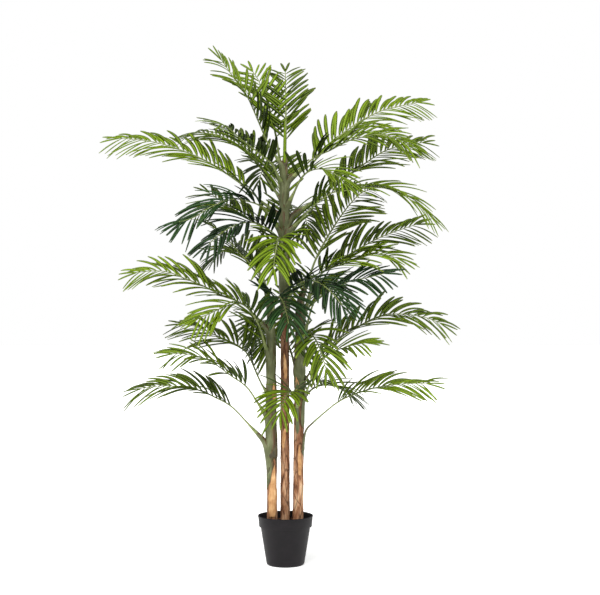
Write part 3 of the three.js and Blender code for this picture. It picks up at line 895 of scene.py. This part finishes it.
@dataclass
class Frond:
    """One feather leaf, grown in one piece: leaf base, stalk, midrib and two rows of leaflets."""

    node: str
    plan: FrondPlan
    column: Column
    layer: float  # how far its leaf base stands off the cane
    seed: int
    leaflet: Leaflet = Leaflet()
    spacing: float = 17.5 * MM
    fewest: int = 8  # leaflets in a row
    samples: int = 40  # to measure the blade's length with
    # The leaf base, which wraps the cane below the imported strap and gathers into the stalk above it.
    base_below: float = 85 * MM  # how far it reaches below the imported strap
    base_half: float = 31 * MM  # half of its width round a crownshaft
    stem_base_below: float = 28 * MM  # and the same two on a bare stem
    stem_base_half: tuple[float, float] = (5.5 * MM, 14 * MM)  # at the front or back, and at a side
    bare_margin: float = 40 * MM  # a strap this far under a stem's top sits on bare stem
    tongue: tuple[float, ...] = (0.08, 0.4, 0.68, 0.88, 1.0)  # its share of its width, from below
    tongue_spread: float = 1.3
    strap_spread: float = 1.25
    tongue_wall: float = 1.6 * MM
    base_wall: float = 1.7 * MM
    stalk_wall: float = 3.4 * MM
    stalk_half: float = 5 * MM
    stalk_gutter: float = 3.2 * MM  # the radius of the stalk's hollow
    strap_depth: float = 2.4 * MM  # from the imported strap's middle to the cane
    stalk_steps: int = 58
    arc_points: int = 7
    # The leaflets.
    stray: float = 0.07  # how far leaflets stray from their row, as a share of their length
    droop: float = 0.2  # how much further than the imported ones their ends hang
    frond_tints: tuple[float, float] = (-0.3, 0.24)  # how far a whole frond's shade may differ
    leaflet_tints: float = 0.16  # and a leaflet's within it
    least: tuple[float, float, float] = (105 * MM, 120 * MM, 58 * MM)  # length at 0, 0.3 and 1 of the blade

    def _section(
        self, shell: Shell, at: Station, radius: float, half: float, thick: float, along: float
    ) -> int:
        """Add one section of the leaf base or stalk: a gutter that is open to the top.

        Args:
            shell: The mesh to add to.
            at: Its place and axes.
            radius: The gutter's radius.
            half: Half of its width along the arc.
            thick: Its wall.
            along: How far up the frond it is.

        Returns:
            The index of its first point.
        """
        middle = at.centre + at.top * radius
        span = min(half / radius, 2.7)  # radians: short of closing round the cane
        shares = [2 * k / (self.arc_points - 1) - 1 for k in range(self.arc_points)]
        outer, inner = [], []
        for share in shares:
            way = -at.top * math.cos(share * span) + at.side * math.sin(share * span)
            wall = thick / 2 * (1 - 0.75 * abs(share) ** 3)
            outer.append(middle + way * (radius + wall))
            inner.append(middle + way * (radius - wall))
        return shell.add_points(np.array(outer + inner[::-1]), 0.5, along, shares + shares[::-1])

    def _stalk(self, shell: Shell) -> None:
        """Add the leaf base, stalk and midrib as one skin.

        Args:
            shell: The mesh to add to.
        """
        rings: list[int] = []
        first = self.plan.at(0)
        bare = first.centre[2] < self.column.stem_top - self.bare_margin
        sideways = abs(float(first.top[0]))
        base_half = mix(*self.stem_base_half, sideways**3) if bare else self.base_half
        base_below = self.stem_base_below if bare else self.base_below
        hug = float(np.linalg.norm((first.centre - self.column.centre(first.centre[2]))[:2]))
        below = len(self.tongue)
        for k, share in zip(range(below, 0, -1), self.tongue):
            height = first.centre[2] - base_below * k / below
            radius = self.column.radius(height) + self.layer * share
            centre = self.column.centre(height) - first.top * radius
            at = Station(centre, UP, first.side, first.top, first.width, first.thickness)
            half = base_half * self.tongue_spread * share
            rings.append(self._section(shell, at, radius, half, self.tongue_wall, 0.0))
        last = len(self.plan.stations) - 1
        throat = self.plan.throat
        for k in range(self.stalk_steps + 1):
            place = last * k / self.stalk_steps
            at = self.plan.at(place)
            gather = ease((place - 0.2) / (throat - 1.4))
            radius = mix(hug + self.layer - self.strap_depth, self.stalk_gutter, gather)
            half = mix(base_half * self.strap_spread, self.stalk_half, gather)
            thick = mix(self.base_wall, self.stalk_wall, gather)
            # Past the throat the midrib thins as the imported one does, from its 8 mm.
            slim = min(at.width / (8 * MM), 1.0) if place > throat else 1.0
            wall = thick * max(slim, 0.45)
            rings.append(self._section(shell, at, radius * slim, half * slim, wall, place / last))
        sides = self.arc_points * 2
        part = below + round(self.stalk_steps * (throat - 3) / last)
        shell.skin(rings[: part + 1], sides, 3, closed=False)
        shell.skin(rings[part:], sides, 2, closed=False)
        self._cap(shell, rings[0], 3, flip=True)
        self._cap(shell, rings[-1], 2, flip=False)

    def _cap(self, shell: Shell, first: int, finish: int, flip: bool) -> None:
        """Close one end of the gutter with a strip of faces.

        Args:
            shell: The mesh to add to.
            first: The end ring's first point.
            finish: The number of its finish.
            flip: Whether the faces look towards the base.
        """
        last = self.arc_points * 2 - 1
        for k in range(self.arc_points - 1):
            corners = (first + k, first + k + 1, first + last - k - 1, first + last - k)
            shell.add_face(corners[::-1] if flip else corners, finish)

    def _leaflets(self, shell: Shell) -> None:
        """Add both rows of leaflets and the pair that ends the frond.

        Args:
            shell: The mesh to add to.
        """
        rng = random.Random(self.seed)
        last = len(self.plan.stations) - 1
        throat = self.plan.throat
        n = self.samples
        centres = [self.plan.at(throat + (last - throat) * k / n).centre for k in range(n + 1)]
        gaps = [np.linalg.norm(b - a) for a, b in zip(centres, centres[1:])]
        run = np.concatenate([[0], np.cumsum(gaps)])
        count = max(int(run[-1] / self.spacing), self.fewest)
        frond_tint = rng.uniform(*self.frond_tints)
        for sign in (-1, 1):
            for j in range(count):
                # One row starts a little further up than the other.
                step = j + 0.5 + 0.22 * (sign > 0) + rng.uniform(-0.15, 0.15)
                distance = run[-1] * step / (count + 0.3)
                share = float(np.interp(distance, run, np.linspace(0, 1, n + 1)))
                place = throat + (last - throat) * share
                at = self.plan.at(place)
                along, across, above = self.plan.reach(place, sign) * rng.uniform(0.88, 1.08)
                reach = at.tangent * along + at.side * (sign * across) + at.top * above
                stray = np.array([rng.gauss(0, self.stray) for _ in range(3)])
                reach = reach + (stray - UP * self.droop) * float(np.linalg.norm(reach))
                least = float(np.interp(share, [0, 0.3, 1], self.least))
                reach = reach * max(1.0, least / float(np.linalg.norm(reach)))
                root = at.centre + at.side * (sign * at.width * 0.3) + at.top * at.thickness * 0.2
                turned = at.side * (sign * rng.uniform(-0.25, 0.12))
                face = unit(at.top + turned + at.tangent * rng.uniform(0.1, 0.5))
                bow = UP * rng.uniform(0.07, 0.17) + at.top * 0.05 - at.tangent * rng.uniform(0.02, 0.1)
                slim = mix(1.0, 0.62, max(share - 0.45, 0) / 0.55)
                width = self.leaflet.widest * slim * mix(0.75, 1.0, ease(share / 0.1))
                tint = min(max(0.5 + frond_tint + rng.gauss(0, self.leaflet_tints), 0.0), 1.0)
                self.leaflet.grow(shell, root, reach, face, bow, width, tint)
        end = self.plan.at(last)
        for sign in (-1, 1):
            reach = end.tangent * 70 * MM + end.side * (sign * 16 * MM) - UP * 10 * MM
            tint = 0.5 + frond_tint
            self.leaflet.grow(shell, end.centre, reach, end.top, UP * 0.08, self.leaflet.end_width, tint)

    def build(self, finishes: Finishes) -> bpy.types.Object:
        """Build and dress the frond.

        Args:
            finishes: The palm's materials.

        Returns:
            Its object.
        """
        shell = Shell()
        self._leaflets(shell)
        self._stalk(shell)
        # Fronds that hang in shade take the darker leaf materials, as painted shade.
        leaf = "old_leaf" if self.node in SHADE_PAINTED_FRONDS else "leaf"
        materials = [finishes[k] for k in (f"{leaf}_top", f"{leaf}_under", "stalk", "leaf_base")]
        return settle(shell.build(f"leaf_{self.node}", materials), Slot.FROND, self.node)


# ---------------------------------------------------------------- canes


@dataclass
class Cane:
    """One cane: the brown stem with its leaf scars, and the crownshaft that hangs torn over its top."""

    name: CaneName
    column: Column
    sides: int = 44
    step: float = 4 * MM
    stem_relief: float = 0.9 * MM
    shaft_relief: float = 0.45 * MM
    joint_gap: float = 0.5 * MM  # left between the stem and the crownshaft
    scar_gap: float = 46 * MM
    scar_width: float = 2.2 * MM
    scar_wander: float = 4 * MM
    fine_ridges: float = 420  # to a metre
    broad_ridges: float = 150
    lumps: float = 24
    hang: float = 62 * MM  # how far the crownshaft's torn lower end reaches down over the stem
    cover: float = 1.6 * MM  # how far it stands off the stem there

    def _drop(self, angle: float, share: float, seed: float) -> float:
        """Return how far a point near the torn lower end hangs, in two uneven points.

        Args:
            angle: Where it is round the cane, in radians.
            share: How far up the crownshaft it is, from 0 to 1.
            seed: Turns the pattern.

        Returns:
            The distance, in metres.
        """
        loose = max(1 - 6 * share, 0.0)
        rim = np.array([math.cos(angle), math.sin(angle), 0.0]) * 20 * MM
        jag = 0.5 + 0.5 * math.sin(2 * angle + seed) + 0.22 * ruffle(rim, 110, seed)
        return self.hang * loose * min(max(jag, 0.0), 1.2)

    def _tube(self, low: float, high: float, rough: float, torn: bool, seed: float) -> Shell:
        """Make a column with ridges and scars in its surface.

        Args:
            low: The lower end's height.
            high: The upper end's height.
            rough: How deep its relief is.
            torn: Whether its lower end hangs torn over the piece below.
            seed: Moves its pattern.

        Returns:
            The mesh in the making.
        """
        shell = Shell()
        rings: list[int] = []
        count = max(int((high - low) / self.step), 2)
        for k in range(count + 1):
            height = mix(low, high, k / count)
            uneven = height + self.scar_wander * math.sin(height * 90)
            scar = math.exp(-((uneven % self.scar_gap / self.scar_width) ** 2))
            ring = []
            for s in range(self.sides):
                angle = 2 * math.pi * s / self.sides
                way = np.array([math.cos(angle), math.sin(angle), 0.0])
                drop = self._drop(angle, k / count, seed) if torn else 0.0
                centre = self.column.centre(height - drop)
                radius = self.column.radius(height - drop) + self.cover * min(drop / (6 * MM), 1.0)
                # Ridges run lengthwise, so their pattern is read with the height squeezed.
                spot = np.array([way[0] * radius, way[1] * radius, height * 0.12])
                ridges = ruffle(spot, self.fine_ridges, seed) * 0.6
                ridges += ruffle(spot, self.broad_ridges, seed + 7)
                lumps = ruffle(centre + way * radius, self.lumps, seed + 3)
                ring.append(centre + way * (radius + rough * (ridges * 0.9 + lumps * 1.3 - 0.4 + scar)))
            rings.append(shell.add_points(np.array(ring), 0.5, k / count))
        shell.skin(rings, self.sides, 0)
        return shell

    def build(self, finishes: Finishes) -> list[bpy.types.Object]:
        """Build and dress the stem and the crownshaft.

        Args:
            finishes: The palm's materials.

        Returns:
            Their objects.
        """
        seed = 11.0 + 5 * list(CaneName).index(self.name)
        label = self.name.value
        stem = self._tube(self.column.foot, self.column.stem_top, self.stem_relief, False, seed)
        foot = self.column.stem_top + self.joint_gap
        shaft = self._tube(foot, self.column.head, self.shaft_relief, True, seed + 2)
        stem_piece = stem.build(f"stem_{label}", [finishes["bark"]])
        shaft_piece = shaft.build(f"shaft_{label}", [finishes["shaft"]])
        return [
            settle(stem_piece, Slot.CANE, f"cane_{label}"),
            settle(shaft_piece, Slot.CROWNSHAFT, f"crownshaft_{label}"),
        ]


@dataclass(frozen=True)
class SheathShape:
    """How far a dried leaf base still wraps its cane, and how far its torn point leans, in degrees."""

    half_arc: float = 25
    lean: float = -14
    lift: float = 4 * MM  # how far the point stands off the cane


SHEATH_SHAPES = {
    "dry_sheath_left_low": SheathShape(54, 20, 1.5 * MM),
    "dry_sheath_middle_low": SheathShape(24, 44, 9 * MM),
    "dry_sheath_right_low": SheathShape(24, -12, 3 * MM),
}


@dataclass
class DrySheath:
    """A dried leaf base that clasps a cane: a curled papery plate with a torn top."""

    node: str
    column: Column
    seed: int
    shape: SheathShape
    wall: float = 0.9 * MM
    levels: tuple[float, ...] = (0, 0.12, 0.45, 0.75, 1)  # shares of its height
    widths: tuple[float, ...] = (0.55, 0.85, 1.0, 0.62, 0.1)  # and of its arc that it covers there
    torn_foot: float = 0.03  # how uneven its lower end is, as a share of its height
    ragged_sides: float = 0.45  # how uneven its sides are, as a share of its width
    columns: int = 19
    rows: int = 30

    def build(self, finishes: Finishes) -> bpy.types.Object:
        """Build and dress the sheath.

        Args:
            finishes: The palm's materials.

        Returns:
            Its object.
        """
        corners = [np.array(corner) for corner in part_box(self.node)]
        low, high = (corner[2] for corner in corners)
        middle = (corners[0] + corners[1]) / 2
        out = middle - self.column.centre(float(middle[2]))
        facing = math.atan2(out[1], out[0])
        rng = random.Random(self.seed)
        shell = Shell()
        grid: list[list[np.ndarray]] = [[], []]
        torn = [rng.uniform(-0.5, 0.5) for _ in range(self.columns)]
        arc, lean = math.radians(self.shape.half_arc), math.radians(self.shape.lean)
        shares: list[float] = []
        for r in range(self.rows + 1):
            t = r / self.rows
            taper = float(np.interp(t, self.levels, self.widths))
            for c in range(self.columns):
                a = 2 * c / (self.columns - 1) - 1
                level = t * (1 - 0.05 * abs(a)) + self.torn_foot * torn[c] * (1 - t)
                height = mix(low, high, max(level, 0.0))
                radius = self.column.radius(height)
                ragged = ruffle(np.array([np.sign(a) * 0.5, t * 0.1, self.seed]), 90)
                half = arc * taper * (1 + self.ragged_sides * ragged * abs(a))
                wave = ruffle(np.array([a * 0.02, t * 0.08, self.seed]), 60)
                lift = (0.7 + 0.8 * wave * t + 0.9 * abs(a) ** 6) * MM + self.shape.lift * t**4
                angle = facing + a * half + lean * (t**2 - 0.3)
                way = np.array([math.cos(angle), math.sin(angle), 0.0])
                spot = self.column.centre(height) + way * (radius + lift)
                grid[0].append(spot + way * self.wall)
                grid[1].append(spot)
                shares.append(max(abs(a), 0.8 * t**6))
        count = len(grid[0])
        shell.add_points(np.array(grid[0]), 0.5, 0.0, shares)
        shell.add_points(np.array(grid[1]), 0.5, 0.0, shares)
        self._faces(shell, count)
        made = shell.build(self.node.replace("dry_sheath", "husk"), [finishes["husk"]])
        return settle(made, Slot.DRY_SHEATH, self.node)

    def _faces(self, shell: Shell, count: int) -> None:
        """Join the plate's two sides and its four edges.

        Args:
            shell: The mesh with its points.
            count: How many points each side has.
        """
        wide = self.columns
        for r in range(self.rows):
            for c in range(wide - 1):
                a, b = r * wide + c, r * wide + c + 1
                d, e = a + wide, b + wide
                shell.add_face((a, b, e, d), 0)
                shell.add_face((count + d, count + e, count + b, count + a), 0)
        edge = list(range(wide))
        edge += [r * wide + wide - 1 for r in range(1, self.rows + 1)]
        edge += [self.rows * wide + c for c in range(wide - 2, -1, -1)]
        edge += [r * wide for r in range(self.rows - 1, 0, -1)]
        for a, b in zip(edge, edge[1:] + edge[:1]):
            shell.add_face((a, count + a, count + b, b), 0)


@dataclass
class Spear:
    """The unopened leaf at the top: a slim pleated blade, still rolled."""

    node: str = "spear_leaf"
    levels: tuple[float, ...] = (0, 0.2, 0.55, 0.97, 1)  # shares of its height
    widths: tuple[float, ...] = (0.75, 1.0, 0.8, 0.22, 0.06)  # and of its radius there
    pleats: int = 7
    steps: int = 36
    twist: float = 1.4  # radians from its foot to its tip
    pleat_depth: float = 0.16  # share of its radius
    tint: float = 0.75  # fresher than an open leaf

    def build(self, finishes: Finishes) -> bpy.types.Object:
        """Build and dress the spear.

        Args:
            finishes: The palm's materials.

        Returns:
            Its object.
        """
        low, high = (np.array(c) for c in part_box(self.node))
        centre = (low + high) / 2
        radius = float(high[0] - low[0]) / 2
        sides = self.pleats * 4
        shell = Shell()
        rings: list[int] = []
        for k in range(self.steps + 1):
            t = k / self.steps
            size = radius * float(np.interp(t, self.levels, self.widths))
            height = mix(float(low[2]), float(high[2]), t)
            ring = []
            for s in range(sides):
                angle = 2 * math.pi * s / sides + t * self.twist
                pleat = 1 - self.pleat_depth * (0.5 + 0.5 * math.cos(angle * self.pleats))
                ring.append([
                    centre[0] + math.cos(angle) * size * pleat,
                    centre[1] + math.sin(angle) * size * pleat,
                    height,
                ])
            rings.append(shell.add_points(np.array(ring), self.tint, t * 0.7))
        shell.skin(rings, sides, 0)
        return settle(shell.build("spear", [finishes["leaf_top"]]), Slot.FROND, self.node)


# ---------------------------------------------------------------- pot and soil


@dataclass
class Pot:
    """A round nursery pot: thin tapered wall, a turned-down band under its rim, and drain holes."""

    band: float = 38 * MM
    wall: float = 2.2 * MM
    corner: float = 9 * MM
    body_top: float = 86 * MM
    base: float = 66 * MM
    band_foot: float = 91 * MM
    segments: int = 112
    drain_ring: float = 38 * MM
    drain_radius: float = 5 * MM
    drain_sides: int = 20
    drains: int = 6
    floor: float = 3 * MM

    def _profile(self, rim: float, height: float) -> list[tuple[float, float]]:
        """Return the half section from the underside's middle, out, up, over and back inside.

        Args:
            rim: The rim's outer radius.
            height: The pot's height.

        Returns:
            Radius and height of each point.
        """
        foot = height - self.band
        wall = self.wall
        rounded = [
            (self.base - self.corner * (1 - math.sin(a)), self.corner * (1 - math.cos(a)))
            for a in np.linspace(0, math.pi / 2, 6)
        ]
        lip = [
            (rim - wall / 2 + wall / 2 * math.cos(a), height - wall / 2 + wall / 2 * math.sin(a))
            for a in np.linspace(0, math.pi, 7)
        ]
        outside = [
            (0.0, 0.0),
            (self.base * 0.5, 0.0),
            *rounded,
            (self.body_top - 0.4 * MM, foot - 1.2 * MM),
            (self.body_top, foot - 0.2 * MM),
            (self.band_foot - 0.7 * MM, foot),
            (self.band_foot, foot + 0.8 * MM),
            (mix(self.band_foot, rim, 0.9) - 0.8 * MM, height - 5.2 * MM),
            (rim - 0.2 * MM, height - 4.2 * MM),
            *lip,
        ]
        inside = [
            (rim - wall - 0.3 * MM, height - 4 * MM),
            (self.band_foot - wall, foot + wall),
            (self.body_top - wall, foot),
            (self.base - wall, self.corner + self.floor),
            (self.base - self.corner, self.floor),
            (0.0, self.floor),
        ]
        return outside + inside

    def build(self, finishes: Finishes) -> bpy.types.Object:
        """Build and dress the pot.

        Args:
            finishes: The palm's materials.

        Returns:
            Its object.
        """
        low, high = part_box("pot")
        profile = self._profile(float(high[0] - low[0]) / 2, float(high[2]))
        shell = Shell()
        rings = [shell.add_points(circle(*point, self.segments)) for point in profile[1:-1]]
        shell.skin(rings, self.segments, 0)
        made = shell.build("nursery_pot", [finishes["pot"]])
        self._drill(made)
        mark_sharp(made, 38)
        return settle(made, Slot.POT, "pot")

    def _drill(self, pot: bpy.types.Object) -> None:
        """Cut the drain holes through the pot's floor.

        Args:
            pot: The pot.
        """
        for k in range(self.drains):
            angle = 2 * math.pi * k / self.drains
            middle = (self.drain_ring * math.cos(angle), self.drain_ring * math.sin(angle))
            drill = Shell()
            rings = []
            for height in (-4 * MM, 8 * MM):
                ring = circle(self.drain_radius, height, self.drain_sides, middle)
                rings.append(drill.add_points(ring))
            drill.skin(rings, self.drain_sides, 0)
            cutter = drill.build("drill", list(pot.data.materials))
            cut = pot.modifiers.new("drain", "BOOLEAN")
            cut.object = cutter
            cut.operation = "DIFFERENCE"
            cut.solver = "EXACT"
            apply_modifiers(pot)
            bpy.data.objects.remove(cutter)


def apply_modifiers(piece: bpy.types.Object) -> None:
    """Put a piece's modifiers into its mesh.

    Args:
        piece: The piece.
    """
    graph = bpy.context.evaluated_depsgraph_get()
    shaped = bpy.data.meshes.new_from_object(piece.evaluated_get(graph))
    piece.modifiers.clear()
    piece.data = shaped


def mark_sharp(piece: bpy.types.Object, degrees: float) -> None:
    """Shade a piece smoothly, except across edges sharper than an angle.

    Args:
        piece: The piece.
        degrees: The angle.
    """
    piece.data.polygons.foreach_set("use_smooth", [True] * len(piece.data.polygons))
    piece.data.set_sharp_from_angle(angle=math.radians(degrees))


@dataclass
class Soil:
    """Potting mix filled to just under the pot's rim, with crumbs and bits of bark lying on it."""

    columns: list[Column]
    heap: float = 4.5 * MM  # how far it is heaped round a cane
    heap_reach: float = 26 * MM
    settled: float = 3.5 * MM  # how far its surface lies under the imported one
    crumbs: int = 620
    rings: int = 26
    spokes: int = 96
    seed: int = 5

    def _height(self, x: float, y: float, top: float) -> float:
        """Find the surface's height at a place: lumpy, and heaped round the canes.

        Args:
            x: The place's X.
            y: Its Y.
            top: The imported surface's height.

        Returns:
            The height.
        """
        heap = 0.0
        for column in self.columns:
            middle = column.centre(top)
            away = math.hypot(x - middle[0], y - middle[1]) / self.heap_reach
            heap += self.heap * math.exp(-(away**2))
        spot = np.array([x, y, 0.0])
        lumps = ruffle(spot, 70, 2.0) * 2.2 + ruffle(spot, 210, 5.0) * 1.3 + ruffle(spot, 480, 8.0) * 0.8
        return top - self.settled + heap + lumps * MM

    def build(self, finishes: Finishes) -> bpy.types.Object:
        """Build and dress the soil.

        Args:
            finishes: The palm's materials.

        Returns:
            Its object.
        """
        low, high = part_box("soil")
        rim = float(high[0] - low[0]) / 2
        top, bottom = float(high[2]), float(low[2])
        shell = Shell()
        rings = []
        for k in range(self.rings):
            radius = rim * (1 - k / self.rings * 0.985)
            ring = []
            for s in range(self.spokes):
                a = 2 * math.pi * s / self.spokes
                x, y = radius * math.cos(a), radius * math.sin(a)
                ring.append([x, y, self._height(x, y, top)])
            rings.append(shell.add_points(np.array(ring)))
        sides = ((rim * 0.66, bottom), (rim * 0.71, bottom + 7 * MM), (rim * 0.93, top - 14 * MM))
        under = [shell.add_points(circle(*point, self.spokes)) for point in sides]
        shell.skin(under + rings, self.spokes, 0)
        self._scatter(shell, rim, top)
        made = shell.build("potting_mix", [finishes["soil"], finishes["bark_bits"]], smooth=False)
        return settle(made, Slot.SOIL, "soil")

    def _scatter(self, shell: Shell, rim: float, top: float) -> None:
        """Lay crumbs and bits of bark on the surface.

        Args:
            shell: The mesh to add to.
            rim: The surface's radius.
            top: Its height.
        """
        rng = random.Random(self.seed)
        for _ in range(self.crumbs):
            radius = rim * 0.96 * math.sqrt(rng.random())
            angle = rng.uniform(0, 2 * math.pi)
            x, y = radius * math.cos(angle), radius * math.sin(angle)
            size = rng.uniform(1.2, 4.2) * MM
            shape = size * np.array([rng.uniform(0.8, 2.0), rng.uniform(0.6, 1.0), rng.uniform(0.3, 0.7)])
            turn, tilt = rng.uniform(0, math.pi), rng.uniform(-0.5, 0.5)
            centre = np.array([x, y, self._height(x, y, top) + shape[2] * 0.4])
            along = np.array([math.cos(turn), math.sin(turn), tilt])
            across = np.array([-math.sin(turn), math.cos(turn), 0.0])
            ring = []
            for k in range(6):
                a = math.pi * k / 3
                jag = rng.uniform(0.75, 1.1)
                spot = along * math.cos(a) * shape[0] * jag / 2 + across * math.sin(a) * shape[1] * jag / 2
                ring.append(centre + spot)
            finish = int(rng.random() < 0.55)
            flat = np.array(ring)
            low = shell.add_points(flat - UP * shape[2] / 2, rng.random())
            high = shell.add_points(centre + (flat - centre) * 0.8 + UP * shape[2] / 2, rng.random())
            shell.skin([low, high], 6, finish)


# ---------------------------------------------------------------- studio


@dataclass(frozen=True)
class Studio:
    """A white floor, a broad lamp above the front, a weaker one at the side, and the camera."""

    camera_at: tuple[float, float, float] = (0.05, -4.5, 0.92)
    lens: float = 78.3
    sensor: float = 36.0
    floor_size: float = 40.0
    ceiling: float = 0.28  # how bright the ceiling is beside the walls

    def build(self, paper: bpy.types.Material) -> None:
        """Build the floor, the lights and the camera.

        Args:
            paper: The floor's material.
        """
        shell = Shell()
        half = self.floor_size / 2
        corners = np.array([[-half, -half, 0], [half, -half, 0], [half, half, 0], [-half, half, 0]])
        first = shell.add_points(corners)
        shell.add_face((first, first + 1, first + 2, first + 3), 0)
        floor = shell.build("studio_floor", [paper], smooth=False)
        scene = bpy.context.scene
        world = bpy.data.worlds.new("studio_air")
        world.use_nodes = True
        tree = world.node_tree
        # White walls all round, and a dimmer ceiling above them.
        place = add_node(tree, "TexCoord").outputs["Generated"]
        height = add_node(tree, "SeparateXYZ", {"Vector": place}).outputs["Z"]
        off_level = add_node(tree, "Math", {0: height}, operation="ABSOLUTE")
        fade = {"Value": off_level, "From Min": 0.3, "From Max": 0.55, "To Min": 1.0, "To Max": self.ceiling}
        glow = add_node(tree, "MapRange", fade)
        feed(tree, tree.nodes["Background"], {"Strength": glow, "Color": WHITE})
        scene.world = world
        scene.view_settings.view_transform = "Standard"
        self._lamp("key_lamp", rise=56, turn=-26, spread=40, strength=2.9)
        self._lamp("side_lamp", rise=30, turn=60, spread=40, strength=0.6)
        camera = bpy.data.cameras.new("camera")
        camera.lens = self.lens
        camera.sensor_width = self.sensor
        camera.sensor_fit = "HORIZONTAL"
        holder = bpy.data.objects.new("camera", camera)
        holder.location = self.camera_at
        holder.rotation_euler = (math.pi / 2, 0.0, 0.0)
        scene.collection.objects.link(holder)
        scene.camera = holder

    @staticmethod
    def _lamp(name: str, rise: float, turn: float, spread: float, strength: float) -> None:
        """Add a far, broad lamp.

        Args:
            name: Its name.
            rise: Its height above level, in degrees.
            turn: How far it stands to the right of the front, in degrees.
            spread: How wide it looks from the plant, in degrees.
            strength: Its strength.
        """
        light = bpy.data.lights.new(name, "SUN")
        light.angle = math.radians(spread)
        light.energy = strength
        holder = bpy.data.objects.new(name, light)
        a, b = math.radians(rise), math.radians(turn)
        place = Vector((math.cos(a) * math.sin(b), -math.cos(a) * math.cos(b), math.sin(a)))
        holder.location = place * 4
        holder.rotation_euler = (-place).to_track_quat("-Z", "Y").to_euler()
        bpy.context.scene.collection.objects.link(holder)


# ---------------------------------------------------------------- the palm


@dataclass
class Palm:
    """The whole plant: pot, soil, canes, dried sheaths, spear and fronds."""

    nodes: dict[str, bpy.types.Object]
    finishes: Finishes = field(default_factory=dict)

    def mix_finishes(self) -> None:
        """Make every material."""
        self.finishes = {
            # Upper faces are a fresh yellow green with a soft wax gloss.
            "leaf_top": LeafBlade(
                "waxed_leaf_upper", "#2a3c02", "#7a970a", "#94944a", "#8aa034", 0.5, 0.24
            ).material(),
            # Undersides are duller, darker and bluer; their darkness is partly their own duller green and
            # partly painted shade.
            "leaf_under": LeafBlade(
                "matt_leaf_under_with_painted_shade", "#162104", "#3b500c", "#5f5f38", "#4c6026", 0.6, 0.14
            ).material(),
            # Painted shade: fronds that hang in shade take a deep, duller, bluer green on both faces.
            "old_leaf_top": LeafBlade(
                "shade_painted_leaf_upper", "#0f200a", "#2a4e1c", "#5a6038", "#466638", 0.5, 0.24
            ).material(),
            "old_leaf_under": LeafBlade(
                "shade_painted_leaf_underside", "#0b1608", "#1e3618", "#44482e", "#334a2a", 0.6, 0.14
            ).material(),
            # Stalks are olive going to yellow, satin, with fine streaks.
            "stalk": GrownFibre(
                "grown_leaf_stalk", "#4d5a26", "#728043", "#939a5e", 2.2, 40, 0.45, 0.2
            ).material(),
            # Leaf bases are grey olive with brown fibres at their edges.
            "leaf_base": GrownFibre(
                "grown_leaf_base", "#373c1c", "#545a30", "#787c57", 2.6, 55, 0.5, 0.3, "#5a3b22"
            ).material(),
            # The crownshaft is darker and browner than the leaf bases that wrap it: partly its own brown,
            # partly painted shade in the gaps between them.
            "shaft": GrownFibre(
                "grown_crownshaft_with_painted_shade", "#22180d", "#40391c", "#5f5c36", 3.0, 30, 0.55, 0.5
            ).material(),
            "bark": PalmBark().material(),
            # Dried sheaths are papery and tan.
            "husk": GrownFibre(
                "dried_leaf_base", "#8a5a35", "#bd8c59", "#ddb684", 2.2, 26, 0.75, 0.5, "#5a3420"
            ).material(),
            "pot": MouldedPolypropylene().material(),
            "soil": PottingMix("peat_potting_mix", "#1c130d", "#38271a", "#5d3f2a").material(),
            "bark_bits": PottingMix("composted_bark", "#4a2f1f", "#74492f", "#96684a").material(),
            "paper": StudioPaper().material(),
        }

    def build(self) -> None:
        """Build every piece in order and report it."""
        self.mix_finishes()
        Studio().build(self.finishes["paper"])
        columns = {cane: Column.read(self.nodes, cane) for cane in CaneName}
        report(Pot().build(self.finishes))
        report(Soil(list(columns.values())).build(self.finishes))
        for cane, column in columns.items():
            for piece in Cane(cane, column).build(self.finishes):
                report(piece)
        report(Spear().build(self.finishes))
        names = sorted(self.nodes)
        for seed, node in enumerate(n for n in names if n.startswith("dry_sheath")):
            column = next(c for cane, c in columns.items() if cane.value in node)
            shape = SHEATH_SHAPES.get(node, SheathShape())
            report(DrySheath(node, column, 3 + seed, shape).build(self.finishes))
        for seed, node in enumerate(n for n in names if "_frond_" in n):
            column = next(c for cane, c in columns.items() if node.startswith(cane.value))
            plan = FrondPlan.read(self.nodes[node])
            layer = (0.9 + 0.7 * ((seed * 3) % 4)) * MM
            report(Frond(node, plan, column, layer, 100 + seed).build(self.finishes))


def report(piece: bpy.types.Object) -> None:
    """Log a piece's name and how many faces it has."""
    LOG.info("%s: %d faces", piece.name, len(piece.data.polygons))


def main() -> None:
    """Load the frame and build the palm."""
    logging.basicConfig(level=logging.INFO, format="%(name)s: %(message)s")
    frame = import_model()
    Palm(frame["nodes"]).build()


if __name__ == "__main__":
    main()
